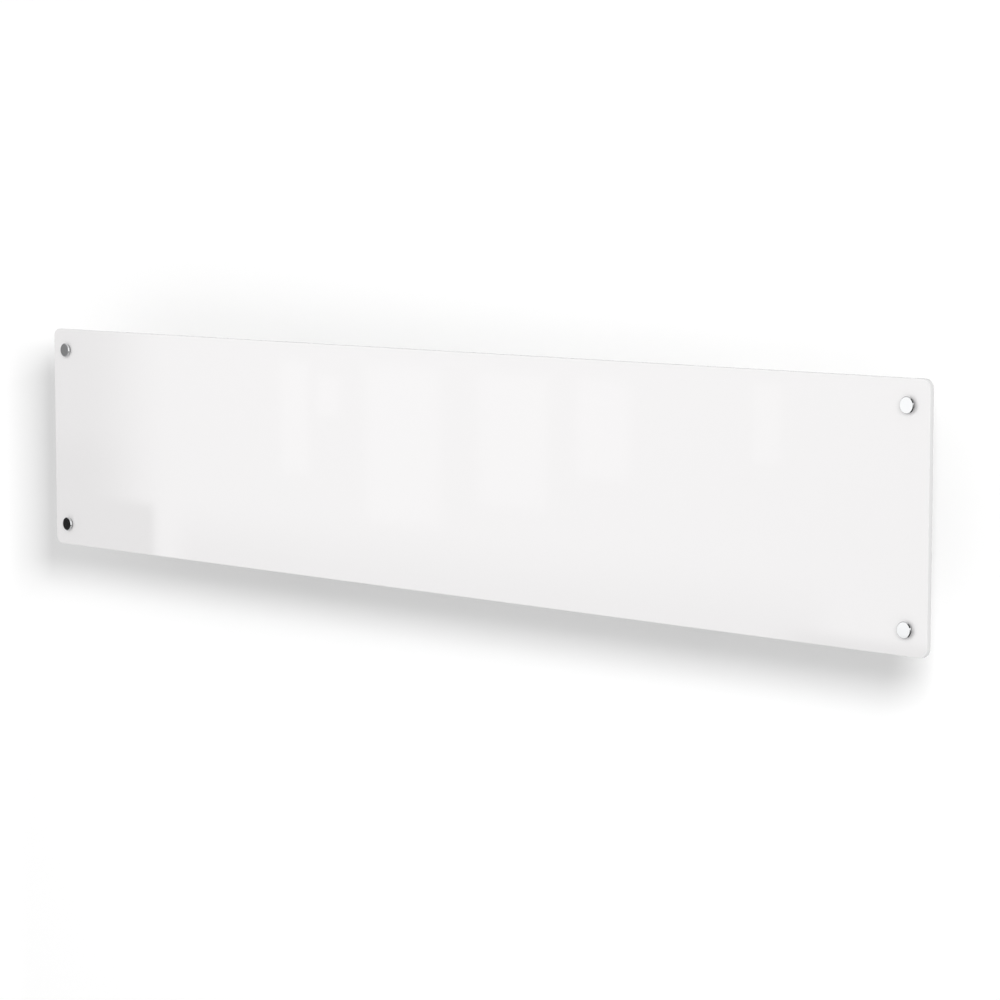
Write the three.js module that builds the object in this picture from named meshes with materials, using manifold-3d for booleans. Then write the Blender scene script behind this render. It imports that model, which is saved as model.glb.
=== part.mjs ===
// Glass panel heater: a wall-hung convector behind a sheet of glass that four polished caps hold.
// Millimetres, +Z up. The glass faces -Y, and the wall is the plane Y = 0.
// The origin is on the wall, behind the middle of the glass.

import * as THREE from 'three';
import { mergeVertices } from 'three/addons/utils/BufferGeometryUtils.js';
import Module from 'manifold-3d';

const wasm = await Module();
wasm.setup();

// Clearances
const fit = 0.3; // between pieces that fit in or rest beside one another
const overrun = 1; // how far a cutting shape runs past what it cuts

// Glass panel
const glassWidth = 1270;
const glassHeight = 250;
const glassThickness = 5;
const glassCornerRadius = 9;
const glassArris = 0.5; // chamfer ground along every edge

// Corner fixings: cap, stud, grommet, spacer
const capDiameter = 16;
const capProud = 4; // from the glass to the cap's face
const capInset = 24; // cap centre to the glass's edges
const capBevel = 0.9;
const capBoreDepth = 2.2;
const studDiameter = 6;
const studChamfer = 0.5;
const grommetDiameter = 13;
const grommetFront = 0.6; // flange between cap and glass
const grommetBack = 1; // flange between glass and spacer
const grommetSleeve = 2; // wall of the sleeve in the glass hole
const spacerDiameter = 13;
const weldNutDiameter = 12;
const weldNutHeight = 5;

// Casing of folded sheet steel
const wallGap = 24; // wall to the casing's back
const casingDepth = 42;
const frontGap = 15; // casing's front to the glass
const casingSideInset = 75; // glass edge to the casing's end
const casingTopInset = 30; // glass edge to the casing's top and bottom
const sheet = 1;
const foldDepth = 8; // folded edges of the front and back sheets
const endFlange = 10; // collar of each end plate
const slotLength = 60;
const slotWidth = 5;
const slotEndBridge = 12; // steel between the ends of neighbouring slots
const slotRowBridge = 3; // steel between rows of slots

// Glass rails
const railSheet = 2;
const railLap = 30; // where a rail lies on the casing's front
const railEdge = 8; // cap centre to the rail's outer edge
const railEnd = 12; // cap centre to the rail's top and bottom
const railBar = 22; // width of the bars round the rail's window
const railCornerRadius = 4;

// Wall bracket
const bracketInset = 240; // casing's end to the bracket's end
const bracketSheet = 2;
const bracketBand = 36; // upper and lower band of the bracket
const bracketWeb = 40; // uprights between the bracket's windows
const wallHoleDiameter = 6;
const hookDrop = 29; // casing's top down to the hooks' seats
const hookLip = 9;
const hookTongue = 10;
const hookLipThickness = 4;
const hookLipPlay = 2; // seated sheet to the lip
const hookWallPlay = 3; // seated sheet to the flange behind it
const hookSidePlay = 1;
const legWidth = 36;
const bufferDiameter = 16;
const bufferTaper = 2;

// Lock levers under the casing's back
const lockTabDrop = 8;
const lockTabWidth = 26;
const lockPlay = 1.5;
const leverSideRim = 0.5; // lever's edge beyond the head of its pin
const leverThickness = 3;
const leverRibHeight = 2.5;
const leverRibWidth = 3;
const leverPinDiameter = 6;
const leverHeadRim = 1.5;
const leverHeadThickness = 1.5;

// Heating element and its reflector
const rodDiameter = 8;
const rodPitch = 18;
const rodWall = 2; // aluminium round each rod
const finClearance = 2; // fins' tips to the reflector's face
const finInset = 20; // reflector's edges in to the fins' tips
const finThickness = 3;
const holderLength = 10;
const holderFront = 32; // holder's depth from the casing's back
const holderHeight = 44;
const holderMargin = 20;
const rodTail = 8;
const terminalTail = 25;
const linkWidth = 10;
const linkThickness = 1;
const reflectorTopGap = 36; // hooks' seats down to the reflector
const reflectorBottomGap = 5; // casing's bottom up to the reflector
const reflectorStandoff = 4;
const reflectorSheet = 0.6;

// Thermal cut-out
const cutoutOffset = 50; // left of the control end
const cutoutFlangeDiameter = 22;
const cutoutFlange = 1.2;
const cutoutDiameter = 16;
const cutoutDepth = 8;
const bladeWidth = 6;
const bladeLength = 8;
const bladeThickness = 0.8;
const bladePitch = 10;

// Control end
const fasciaThickness = 2;
const trayWall = 2;
const trayHeight = 50;
const trayFrontGap = 2;
const traySlotLength = 36; // cable slot in the tray's floor
const traySlotWidth = 20;
const trayPost = 4;
const boardDrop = 16; // casing's top sheet down to the board
const boardThickness = 1.6;
const displayLength = 34;
const displayWidth = 12;
const displayMargin = 8;
const displayRim = 1.5;
const displayRimThickness = 1.2;
const displaySink = 0.3; // window's face below the fascia's
const buttonDiameter = 9;
const buttonPitch = 14;
const buttonGap = 3.8; // display's edge to the first button's edge
const buttonEndRoom = 21.7; // last button's middle to the end plate
const buttonFlangeRim = 1.2;
const buttonFlange = 1.2;
const buttonProud = 1.4;
const buttonTravel = 1;
const buttonStemDiameter = 4;
const buttonStemLength = 9;
const buttonRound = 0.5;
const keySwitchSize = 6;
const relayLength = 20;
const relayWidth = 16;
const relayHeight = 15;

// Power switch in the right end plate
const switchHeight = 19;
const switchWidth = 13;
const switchWall = 1.2;
const switchBezel = 2;
const switchBezelThickness = 1.5;
const switchPinDiameter = 3;
const switchPinDepth = 3; // end plate's face in to the rocker's pin
const switchPlay = 1; // rocker to the housing's floor
const rockerTilt = 10; // degrees each way
const rockerCheek = 35; // degrees from the rocker's middle to its face's ends

// Cord gland in the right end plate
const glandRise = 35; // casing's bottom up to the gland's middle
const glandBoreDiameter = 8.4;
const glandNeckDiameter = 14;
const glandFlangeDiameter = 20;
const glandFlange = 3;
const glandNeckLength = 9;
const glandBarb = 1.2;
const glandChamfer = 1;

// Terminal block, sensor and leads
const terminalLength = 36;
const terminalDepth = 18;
const terminalHeight = 24;
const terminalDrop = 10; // element's middle down to the block's middle
const terminalPitch = 11;
const terminalBoreDiameter = 4;
const sensorDiameter = 5;
const sensorHeight = 14;
const sensorBase = 12;
const sensorBaseWidth = 8;
const sensorBaseThickness = 2;
const sensorOffset = 12;
const sensorGap = 2; // front sheet's fold back to the sensor's base
const leadDiameter = 3;
const sensorLeadDiameter = 2;
const leadSwing = 50; // how far a lead runs on before it bends
const leadTurn = 14; // the same at a tight place
const boardPadPitch = 6;

// Counts of flat sides and steps
const cornerSteps = 6;
const roundSides = 24;
const smallSides = 16;
const studSides = 12;
const leadSteps = 16;
const leadSides = 8;

// Depths, from the wall forward
const backY = -wallGap;
const backInnerY = backY - sheet;
const frontY = backY - casingDepth;
const frontInnerY = frontY + sheet;
const midY = (backInnerY + frontInnerY) / 2;
const railFrontY = frontY - railSheet;
const glassBackY = frontY - frontGap;
const glassFrontY = glassBackY - glassThickness;
const coverBackY = backInnerY - fit; // grilles and fascia stop short of the back sheet

// Casing's outline
const casingHalfWidth = glassWidth / 2 - casingSideInset;
const casingHalfHeight = glassHeight / 2 - casingTopInset;
const sheetEndX = casingHalfWidth - sheet;
const foldOuterZ = casingHalfHeight - sheet;
const foldInnerZ = foldOuterZ - sheet;
const slotLengthPitch = slotLength + slotEndBridge;
const slotRowPitch = slotWidth + slotRowBridge;
const capX = glassWidth / 2 - capInset;
const capZ = glassHeight / 2 - capInset;
const studBoreRadius = studDiameter / 2 + fit;
const sleeveRadius = studBoreRadius + grommetSleeve;

// Hooks and lock levers
const hookSeatZ = casingHalfHeight - hookDrop;
const hookTopZ = hookSeatZ + hookLip;
const bracketHalfWidth = casingHalfWidth - bracketInset;
const hookX = bracketHalfWidth - bracketSheet / 2;
const lockX = bracketHalfWidth - legWidth / 2;
const lockTabZ = -casingHalfHeight - lockTabDrop;
const leverHalfWidth = leverPinDiameter / 2 + leverHeadRim + leverSideRim;
const leverBackY = backInnerY - lockPlay;
const lockTabFrontY = leverBackY + fit;
const lockPivotZ = lockTabZ - leverHalfWidth - lockPlay;
const leverReach = -casingHalfHeight - lockPivotZ - lockPlay;
const legBottomZ = lockPivotZ - leverHalfWidth - bracketSheet;

// Element
const reflectorTopZ = hookSeatZ - reflectorTopGap;
const reflectorBottomZ = -casingHalfHeight + reflectorBottomGap;
const reflectorFaceY = backInnerY - reflectorStandoff;
const elementZ = (reflectorTopZ + reflectorBottomZ) / 2;
const finReach = reflectorFaceY - finClearance - midY;
const finHeight = (reflectorTopZ - reflectorBottomZ) / 2 - finInset;
const displayRoom = displayMargin + displayLength + buttonGap;
const controlLength = displayRoom + buttonDiameter / 2 + 2 * buttonPitch + buttonEndRoom;
const controlX = sheetEndX - controlLength;
const leftHolderX = -sheetEndX + endFlange + holderMargin;
const rightHolderX = controlX - holderMargin;
const lowerRodZ = elementZ - rodPitch / 2;
const upperRodZ = elementZ + rodPitch / 2;
const rodLeftX = leftHolderX - rodTail;
const rodRightX = rightHolderX + terminalTail;

// Control end
const trayRightX = sheetEndX - endFlange - fit;
const trayTopZ = foldInnerZ - fit;
const trayFloorZ = trayTopZ - trayHeight;
const trayFrontY = frontInnerY + trayFrontGap;
const trayMidY = (backInnerY + trayFrontY) / 2;
const boardTopZ = foldOuterZ - boardDrop;
const boardZ = boardTopZ - boardThickness;
const displayX = controlX + displayMargin + displayLength / 2;
const firstButtonX = controlX + displayRoom + buttonDiameter / 2;
const buttonStemZ = foldOuterZ - buttonStemLength;
const traySlotX = controlX + trayWall + trayPost / 2 + traySlotLength / 2;
const cutoutX = controlX - cutoutOffset;
const cutoutZ = reflectorTopZ + cutoutFlangeDiameter / 2 + reflectorStandoff;
const bladeTipY = backInnerY - cutoutFlange - cutoutDepth - bladeLength;
const terminalX = (controlX + sheetEndX - endFlange) / 2;
const terminalY = backInnerY - terminalDepth / 2;
const terminalZ = elementZ - terminalDrop;
const glandZ = -casingHalfHeight + glandRise;
const sensorX = controlX + sensorOffset;
const sensorY = frontY + foldDepth + sensorGap + sensorBaseWidth / 2;
const sensorTopZ = -foldOuterZ + sensorBaseThickness + sensorHeight;

// Power switch, and the places under the board where the leads end
const rockerRadius = switchHeight / 2 - switchWall - fit;
const switchPinX = casingHalfWidth - switchPinDepth;
const switchFloorX = switchPinX - rockerRadius - switchPlay;
const boardPadZ = boardZ - fit;
const supplyPad = [traySlotX + boardPadPitch / 2, trayMidY + boardPadPitch / 2, boardPadZ];
const loadPad = [traySlotX - boardPadPitch / 2, trayMidY - boardPadPitch / 2, boardPadZ];
const sensorPad = [traySlotX + boardPadPitch * 2, trayMidY - boardPadPitch, boardPadZ];

// Solids: a closed geometry goes in, is joined or cut, and comes back as a geometry
function toSolid(geometry) {
  const bare = geometry.clone();
  bare.deleteAttribute('normal');
  bare.deleteAttribute('uv');
  const merged = mergeVertices(bare);
  const corners = merged.index.array;
  const kept = [];
  for (let i = 0; i < corners.length; i += 3) {
    const [a, b, c] = corners.slice(i, i + 3);
    if (a !== b && b !== c && c !== a) kept.push(a, b, c);
  }
  const vertProperties = Float32Array.from(merged.attributes.position.array);
  return new wasm.Manifold(new wasm.Mesh({ numProp: 3, vertProperties, triVerts: Uint32Array.from(kept) }));
}

function toGeometry(solid) {
  const { vertProperties, triVerts } = solid.getMesh();
  const geometry = new THREE.BufferGeometry();
  geometry.setAttribute('position', new THREE.BufferAttribute(vertProperties, 3));
  geometry.setIndex(new THREE.BufferAttribute(triVerts, 1));
  geometry.computeVertexNormals();
  return geometry;
}

function join(...pieces) {
  return toGeometry(pieces.map(toSolid).reduce((whole, piece) => whole.add(piece)));
}

function cut(piece, ...tools) {
  return toGeometry(tools.map(toSolid).reduce((left, tool) => left.subtract(tool), toSolid(piece)));
}

// A box between two corners, given in either order
function box(xs, ys, zs) {
  const sizes = [xs, ys, zs].map(([from, to]) => Math.abs(to - from));
  const middles = [xs, ys, zs].map(([from, to]) => (from + to) / 2);
  return new THREE.BoxGeometry(...sizes).translate(...middles);
}

// A length laid evenly about a middle
function around(middle, length) {
  return [middle - length / 2, middle + length / 2];
}

const alongPlusX = new THREE.Vector3(1, 0, 0);
const alongPlusY = new THREE.Vector3(0, 1, 0);
const alongPlusZ = new THREE.Vector3(0, 0, 1);
const towardsRoom = alongPlusY.clone().negate();

// Turns a geometry so that its own axes lie along three of the part's axes
function orient(geometry, x, y, z) {
  return geometry.applyMatrix4(new THREE.Matrix4().makeBasis(x, y, z));
}

function outline(points) {
  return new THREE.Shape(points.map(([a, b]) => new THREE.Vector2(a, b)));
}

function extruded(shape, depth) {
  return new THREE.ExtrudeGeometry(shape, { depth, bevelEnabled: false, curveSegments: cornerSteps });
}

// A profile in Y and Z, run along X from one place to another
function runAlongX(profile, fromX, toX) {
  const length = Math.abs(toX - fromX);
  const body = orient(extruded(profile, length), alongPlusY, alongPlusZ, alongPlusX);
  return body.translate(Math.min(fromX, toX), 0, 0);
}

// A profile in X and Z, run along Y from its back towards the room
function runAlongY(profile, back, depth) {
  return orient(extruded(profile, depth), alongPlusX, alongPlusZ, towardsRoom).translate(0, back, 0);
}

// A profile in X and Y, run upwards
function runAlongZ(profile, bottom, height) {
  return extruded(profile, height).translate(0, 0, bottom);
}

// A profile of radius and height, turned about the axis that its heights lie along
function turned(profile, sides, axis) {
  const lathe = new THREE.LatheGeometry(profile.map(([r, h]) => new THREE.Vector2(r, h)), sides);
  const side = axis === alongPlusX ? alongPlusY : alongPlusX;
  return orient(lathe, side, axis, side.clone().cross(axis));
}

// A ring or tube: the profile closes on itself round the bore
function ring(innerRadius, outerRadius, from, to, sides, axis) {
  const profile = [[innerRadius, from], [outerRadius, from], [outerRadius, to], [innerRadius, to]];
  return turned([...profile, profile[0]], sides, axis);
}

function rod(radius, from, to, sides, axis) {
  return turned([[0, from], [radius, from], [radius, to], [0, to]], sides, axis);
}

function roundedRectangle(halfWidth, halfHeight, radius, centreX = 0) {
  const shape = new THREE.Shape();
  const [left, right] = [centreX - halfWidth + radius, centreX + halfWidth - radius];
  const [low, high] = [-halfHeight + radius, halfHeight - radius];
  shape.absarc(right, low, radius, -Math.PI / 2, 0);
  shape.absarc(right, high, radius, 0, Math.PI / 2);
  shape.absarc(left, high, radius, Math.PI / 2, Math.PI);
  shape.absarc(left, low, radius, Math.PI, Math.PI + Math.PI / 2);
  shape.closePath();
  return shape;
}

function roundHole(x, y, radius) {
  return new THREE.Path().absarc(x, y, radius, 0, 2 * Math.PI, true);
}

function rectangle([fromA, toA], [fromB, toB]) {
  return outline([[fromA, fromB], [toA, fromB], [toA, toB], [fromA, toB]]);
}

// Glass and its corner fixings
function glassPanel() {
  const shape = roundedRectangle(glassWidth / 2, glassHeight / 2, glassCornerRadius);
  for (const x of [-capX, capX]) {
    for (const z of [-capZ, capZ]) shape.holes.push(roundHole(x, z, sleeveRadius + fit));
  }
  const glass = new THREE.ExtrudeGeometry(shape, {
    depth: glassThickness - 2 * glassArris,
    bevelThickness: glassArris,
    bevelSize: glassArris,
    bevelOffset: -glassArris,
    bevelSegments: 1,
    curveSegments: cornerSteps,
  });
  return orient(glass.translate(0, 0, glassArris), alongPlusX, alongPlusZ, towardsRoom);
}

// The cap's heights run towards the room from the glass's front face
function cap() {
  const radius = capDiameter / 2;
  return turned([
    [0, grommetFront + capBoreDepth],
    [studBoreRadius, grommetFront + capBoreDepth],
    [studBoreRadius, grommetFront],
    [radius, grommetFront],
    [radius, capProud - capBevel],
    [radius - capBevel / 2, capProud - capBevel / 3],
    [radius - capBevel, capProud],
    [0, capProud],
  ], roundSides, towardsRoom);
}

// The grommet closes round the glass: front flange, sleeve in the hole, back flange
function grommet() {
  const [bore, sleeve, flange] = [studBoreRadius, sleeveRadius, grommetDiameter / 2];
  const profile = [
    [bore, -glassThickness - grommetBack],
    [flange, -glassThickness - grommetBack],
    [flange, -glassThickness],
    [sleeve, -glassThickness],
    [sleeve, 0],
    [flange, 0],
    [flange, grommetFront],
    [bore, grommetFront],
  ];
  return turned([...profile, profile[0]], smallSides, towardsRoom);
}

function capStud() {
  const radius = studDiameter / 2;
  const front = grommetFront + capBoreDepth - fit;
  const back = glassFrontY - frontY - weldNutHeight;
  return turned([
    [0, back],
    [radius - studChamfer, back],
    [radius, back + studChamfer],
    [radius, front - studChamfer],
    [radius - studChamfer, front],
    [0, front],
  ], studSides, towardsRoom);
}

function glassSpacer() {
  const front = -glassThickness - grommetBack;
  return ring(studBoreRadius, spacerDiameter / 2, glassFrontY - railFrontY, front, smallSides, towardsRoom);
}

// One rail: a plate with a window, on the casing's front, and two weld nuts behind it for the studs
function glassRail(side) {
  const inner = casingHalfWidth - railLap;
  const outer = capX + railEdge;
  const halfHeight = capZ + railEnd;
  const centre = side * (inner + outer) / 2;
  const plate = roundedRectangle((outer - inner) / 2, halfHeight, railCornerRadius, centre);
  const windowHalfWidth = (outer - inner) / 2 - railBar;
  plate.holes.push(roundedRectangle(windowHalfWidth, halfHeight - railBar, railCornerRadius, centre));
  for (const z of [-capZ, capZ]) plate.holes.push(roundHole(side * capX, z, studBoreRadius));
  const nuts = [-capZ, capZ].map((z) => {
    const depth = weldNutHeight + railSheet / 2;
    const nut = ring(studBoreRadius, weldNutDiameter / 2, 0, depth, studSides, towardsRoom);
    return nut.translate(side * capX, frontY + weldNutHeight, z);
  });
  return join(runAlongY(plate, frontY, railSheet), ...nuts);
}

// Casing: a folded front and back sheet, two slotted grilles and two end plates
function foldedSheet(face, inward) {
  const [edge, inner] = [face + inward * foldDepth, face + inward * sheet];
  return outline([
    [face, -foldOuterZ],
    [edge, -foldOuterZ],
    [edge, -foldInnerZ],
    [inner, -foldInnerZ],
    [inner, foldInnerZ],
    [edge, foldInnerZ],
    [edge, foldOuterZ],
    [face, foldOuterZ],
  ]);
}

function casingFront() {
  return runAlongX(foldedSheet(frontY, 1), -sheetEndX, sheetEndX);
}

// The back sheet carries the hook slots and, below it, a tab for each lock lever
function casingBack() {
  const body = runAlongX(foldedSheet(backY, -1), -sheetEndX, sheetEndX);
  const tabs = [-lockX, lockX].map((x) => (
    box(around(x, lockTabWidth), [backY, backInnerY], [lockTabZ, -foldInnerZ])
  ));
  const slotBottomZ = hookSeatZ - hookTongue - hookLip - hookLipPlay;
  const through = [backY + overrun, backInnerY - overrun];
  const slots = [-hookX, hookX].map((x) => (
    box(around(x, bracketSheet + 2 * hookSidePlay), through, [slotBottomZ, hookSeatZ + fit])
  ));
  return cut(join(body, ...tabs), ...slots);
}

// A long slot with pointed ends, centred on a place
function slotShape(x, y) {
  const [tip, half] = [slotLength / 2, slotWidth / 2];
  const shoulder = tip - half;
  const lower = [[-tip, 0], [-shoulder, -half], [shoulder, -half]];
  const upper = lower.map(([dx, dy]) => [-dx, -dy]);
  return outline([...lower, ...upper].map(([dx, dy]) => [x + dx, y + dy]));
}

function grille(toX, bottom) {
  const free = toX + sheetEndX - 2 * endFlange;
  const columns = Math.floor((free + slotLengthPitch - slotLength) / slotLengthPitch);
  const clearDepth = casingDepth - 2 * foldDepth;
  const rows = Math.floor((clearDepth - 2 * fit - slotWidth) / slotRowPitch) + 1;
  const middle = (toX - sheetEndX) / 2;
  const slots = [];
  for (let i = 0; i < columns; i += 1) {
    for (let j = 0; j < rows; j += 1) {
      const x = middle + (i - (columns - 1) / 2) * slotLengthPitch;
      const shape = slotShape(x, midY + (j - (rows - 1) / 2) * slotRowPitch);
      slots.push(runAlongZ(shape, bottom - overrun, sheet + 2 * overrun));
    }
  }
  return cut(box([-sheetEndX, toX], [frontY, coverBackY], [bottom, bottom + sheet]), ...slots);
}

// A flat plate over the casing's end, and a collar that reaches in under the sheets
function endPlate(side) {
  const heights = [-casingHalfHeight, casingHalfHeight];
  const plate = box([side * sheetEndX, side * casingHalfWidth], [frontY, backY], heights);
  const [front, back, high] = [frontInnerY + fit, backInnerY - fit, foldInnerZ - fit];
  const collar = rectangle([front, back], [-high, high]);
  collar.holes.push(rectangle([front + sheet, back - sheet], [-high + sheet, high - sheet]));
  return join(plate, runAlongX(collar, side * (sheetEndX - endFlange), side * (sheetEndX + sheet / 2)));
}

function rightEndPlate() {
  const across = [sheetEndX - endFlange, casingHalfWidth + overrun];
  const switchHole = box(across, around(midY, switchWidth + 2 * fit), around(0, switchHeight + 2 * fit));
  const glandHole = rod(glandNeckDiameter / 2 + fit, ...across, roundSides, alongPlusX);
  return cut(endPlate(1), switchHole, glandHole.translate(0, midY, glandZ));
}

// Heating element: two rods in one finned aluminium body, a holder at each end
function elementFins() {
  const block = rodDiameter / 2 + fit + rodWall;
  const top = rodPitch / 2 + block;
  const tip = [[finReach, finHeight - finThickness], [finReach, finHeight]];
  const quarter = [[block, 0], [block, top - finThickness], ...tip];
  const upper = [...quarter, [0, top], ...quarter.toReversed().map(([y, z]) => [-y, z])];
  const lower = upper.slice(1, -1).toReversed().map(([y, z]) => [y, -z]);
  const shape = outline([...upper, ...lower].map(([y, z]) => [midY + y, elementZ + z]));
  [lowerRodZ, upperRodZ].forEach((z) => shape.holes.push(roundHole(midY, z, rodDiameter / 2 + fit)));
  return runAlongX(shape, leftHolderX + holderLength + fit, rightHolderX - holderLength - fit);
}

function elementRod(z) {
  return rod(rodDiameter / 2, rodLeftX, rodRightX, smallSides, alongPlusX).translate(0, midY, z);
}

function elementLink() {
  const reach = (rodPitch + linkWidth) / 2;
  return box([rodLeftX - linkThickness, rodLeftX], around(midY, linkWidth), around(elementZ, 2 * reach));
}

function elementHolder(fromX, toX) {
  const shape = rectangle([backInnerY - holderFront, backInnerY], around(elementZ, holderHeight));
  [lowerRodZ, upperRodZ].forEach((z) => shape.holes.push(roundHole(midY, z, rodDiameter / 2 + fit)));
  return runAlongX(shape, fromX, toX);
}

function heatReflector() {
  const [low, high, face] = [reflectorBottomZ, reflectorTopZ, reflectorFaceY];
  const shape = outline([
    [backInnerY, low],
    [backInnerY, low + reflectorSheet],
    [face + reflectorSheet, low + reflectorSheet],
    [face + reflectorSheet, high - reflectorSheet],
    [backInnerY, high - reflectorSheet],
    [backInnerY, high],
    [face, high],
    [face, low],
  ]);
  return runAlongX(shape, leftHolderX + holderLength + fit, rightHolderX - holderLength - fit);
}

function thermalCutout() {
  const [flange, body] = [cutoutFlangeDiameter / 2, cutoutDiameter / 2];
  const front = cutoutFlange + cutoutDepth;
  const step = [[flange, 0], [flange, cutoutFlange], [body, cutoutFlange], [body, front]];
  const disc = turned([[0, 0], ...step, [0, front]], roundSides, towardsRoom);
  const reach = [-front + fit, -front - bladeLength];
  const blades = around(0, bladePitch).map((z) => (
    box(around(0, bladeWidth), reach, around(z, bladeThickness))
  ));
  return join(disc, ...blades);
}

// Controls at the right end, under the fascia
function controlFascia() {
  const shape = rectangle([controlX + fit, sheetEndX], [frontY, coverBackY]);
  const windowDepths = around(midY, displayWidth + 2 * fit);
  shape.holes.push(rectangle(around(displayX, displayLength + 2 * fit), windowDepths));
  buttonPlaces().forEach((x) => shape.holes.push(roundHole(x, midY, buttonDiameter / 2 + fit)));
  return runAlongZ(shape, foldOuterZ, fasciaThickness);
}

function buttonPlaces() {
  return [0, 1, 2].map((i) => firstButtonX + i * buttonPitch);
}

function displayWindow() {
  const heights = [-displayRimThickness, fasciaThickness - displaySink];
  const face = box(around(0, displayLength), around(0, displayWidth), heights);
  const [rimLength, rimWidth] = [displayLength + 2 * displayRim, displayWidth + 2 * displayRim];
  return join(face, box(around(0, rimLength), around(0, rimWidth), [-displayRimThickness, 0]));
}

// The button's heights run from the top of the casing's sheet
function pushButton() {
  const [stem, face] = [buttonStemDiameter / 2, buttonDiameter / 2];
  const flange = face + buttonFlangeRim;
  const top = fasciaThickness + buttonProud;
  return turned([
    [0, -buttonStemLength],
    [stem, -buttonStemLength],
    [stem, -fit - buttonFlange],
    [flange, -fit - buttonFlange],
    [flange, -fit],
    [face, -fit],
    [face, top - buttonRound],
    [face - buttonRound, top],
    [0, top],
  ], smallSides, alongPlusZ);
}

function controlTray() {
  const outer = box([controlX, trayRightX], [trayFrontY, backInnerY], [trayFloorZ, trayTopZ]);
  const [left, right] = [controlX + trayWall, trayRightX - trayWall];
  const [front, back] = [trayFrontY + trayWall, backInnerY - trayWall];
  const hollow = box([left, right], [front, back], [trayFloorZ + trayWall, trayTopZ + overrun]);
  const through = [trayFloorZ - overrun, trayFloorZ + trayWall + overrun];
  const slot = box(around(traySlotX, traySlotLength), around(trayMidY, traySlotWidth), through);
  const postLift = [trayFloorZ + trayWall / 2, boardZ];
  const posts = [
    [[left - trayWall / 2, left + trayPost], [front - trayWall / 2, front + trayPost]],
    [[right - trayPost, right + trayWall / 2], [front - trayWall / 2, front + trayPost]],
    [[left - trayWall / 2, left + trayPost], [back - trayPost, back + trayWall / 2]],
    [[right - trayPost, right + trayWall / 2], [back - trayPost, back + trayWall / 2]],
  ].map(([xs, ys]) => box(xs, ys, postLift));
  return join(cut(outer, hollow, slot), ...posts);
}

// The board carries a key switch under each button and the display under its window
function circuitBoard() {
  const inset = trayWall + fit;
  const depths = [trayFrontY + inset, backInnerY - inset];
  const board = box([controlX + inset, trayRightX - inset], depths, [boardZ, boardTopZ]);
  const keyHeights = [boardZ, buttonStemZ - buttonTravel - fit];
  const keyDepths = around(midY, keySwitchSize);
  const keys = buttonPlaces().map((x) => box(around(x, keySwitchSize), keyDepths, keyHeights));
  const displayHeights = [boardZ, foldOuterZ - displayRimThickness - fit];
  const display = box(around(displayX, displayLength), around(midY, displayWidth), displayHeights);
  return join(board, ...keys, display);
}

function powerRelay() {
  const x = firstButtonX + buttonPitch;
  return box(around(x, relayLength), around(trayMidY, relayWidth), [boardZ - relayHeight, boardZ]);
}

// Power switch: a housing through the end plate, and a rocker on a pin across it
function switchFrame() {
  const faceX = casingHalfWidth + switchBezelThickness;
  const framed = (from, to, rim) => (
    box([from, to], around(0, switchWidth + 2 * rim), around(0, switchHeight + 2 * rim))
  );
  const housing = framed(switchFloorX - switchWall, faceX, 0);
  const bezel = framed(casingHalfWidth, faceX, switchBezel);
  const well = framed(switchFloorX, faceX + overrun, -switchWall);
  const pinReach = around(0, switchWidth + 2 * overrun);
  const pinHole = rod(switchPinDiameter / 2 + fit, ...pinReach, studSides, alongPlusY);
  return cut(join(housing, bezel), well, pinHole.translate(switchPinX, 0, 0));
}

// The rocker is a disc about its pin, cut to a shallow V on its face
function powerRocker() {
  const shape = new THREE.Shape();
  const cheek = THREE.MathUtils.degToRad(90 - rockerCheek);
  const [endX, endZ] = [rockerRadius * Math.cos(cheek), rockerRadius * Math.sin(cheek)];
  shape.moveTo(endX - endZ * Math.tan(THREE.MathUtils.degToRad(rockerTilt)), 0);
  shape.lineTo(endX, endZ);
  shape.absarc(0, 0, rockerRadius, cheek, 2 * Math.PI - cheek);
  shape.closePath();
  const halfWidth = switchWidth / 2 - switchWall - fit;
  const body = runAlongY(shape, halfWidth, 2 * halfWidth);
  return join(body, rod(switchPinDiameter / 2, -switchWidth / 2, switchWidth / 2, studSides, alongPlusY));
}

function cordGland() {
  const [bore, neck, flange] = [glandBoreDiameter / 2, glandNeckDiameter / 2, glandFlangeDiameter / 2];
  const profile = [
    [bore, -glandNeckLength],
    [neck, -glandNeckLength],
    [neck + glandBarb, -sheet - fit],
    [neck, -sheet - fit],
    [neck, 0],
    [flange, 0],
    [flange, glandFlange - glandChamfer],
    [flange - glandChamfer, glandFlange],
    [bore, glandFlange],
  ];
  return turned([...profile, profile[0]], roundSides, alongPlusX);
}

function terminalBlock() {
  const shape = rectangle(around(0, terminalLength), around(0, terminalDepth));
  [-1, 0, 1].forEach((i) => shape.holes.push(roundHole(i * terminalPitch, 0, terminalBoreDiameter / 2)));
  return runAlongZ(shape, -terminalHeight / 2, terminalHeight);
}

// The sensor's heights run from the top of the bottom grille
function roomSensor() {
  const base = box(around(0, sensorBase), around(0, sensorBaseWidth), [0, sensorBaseThickness]);
  const heights = [sensorBaseThickness / 2, sensorBaseThickness + sensorHeight];
  return join(base, rod(sensorDiameter / 2, ...heights, studSides, alongPlusZ));
}

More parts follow.
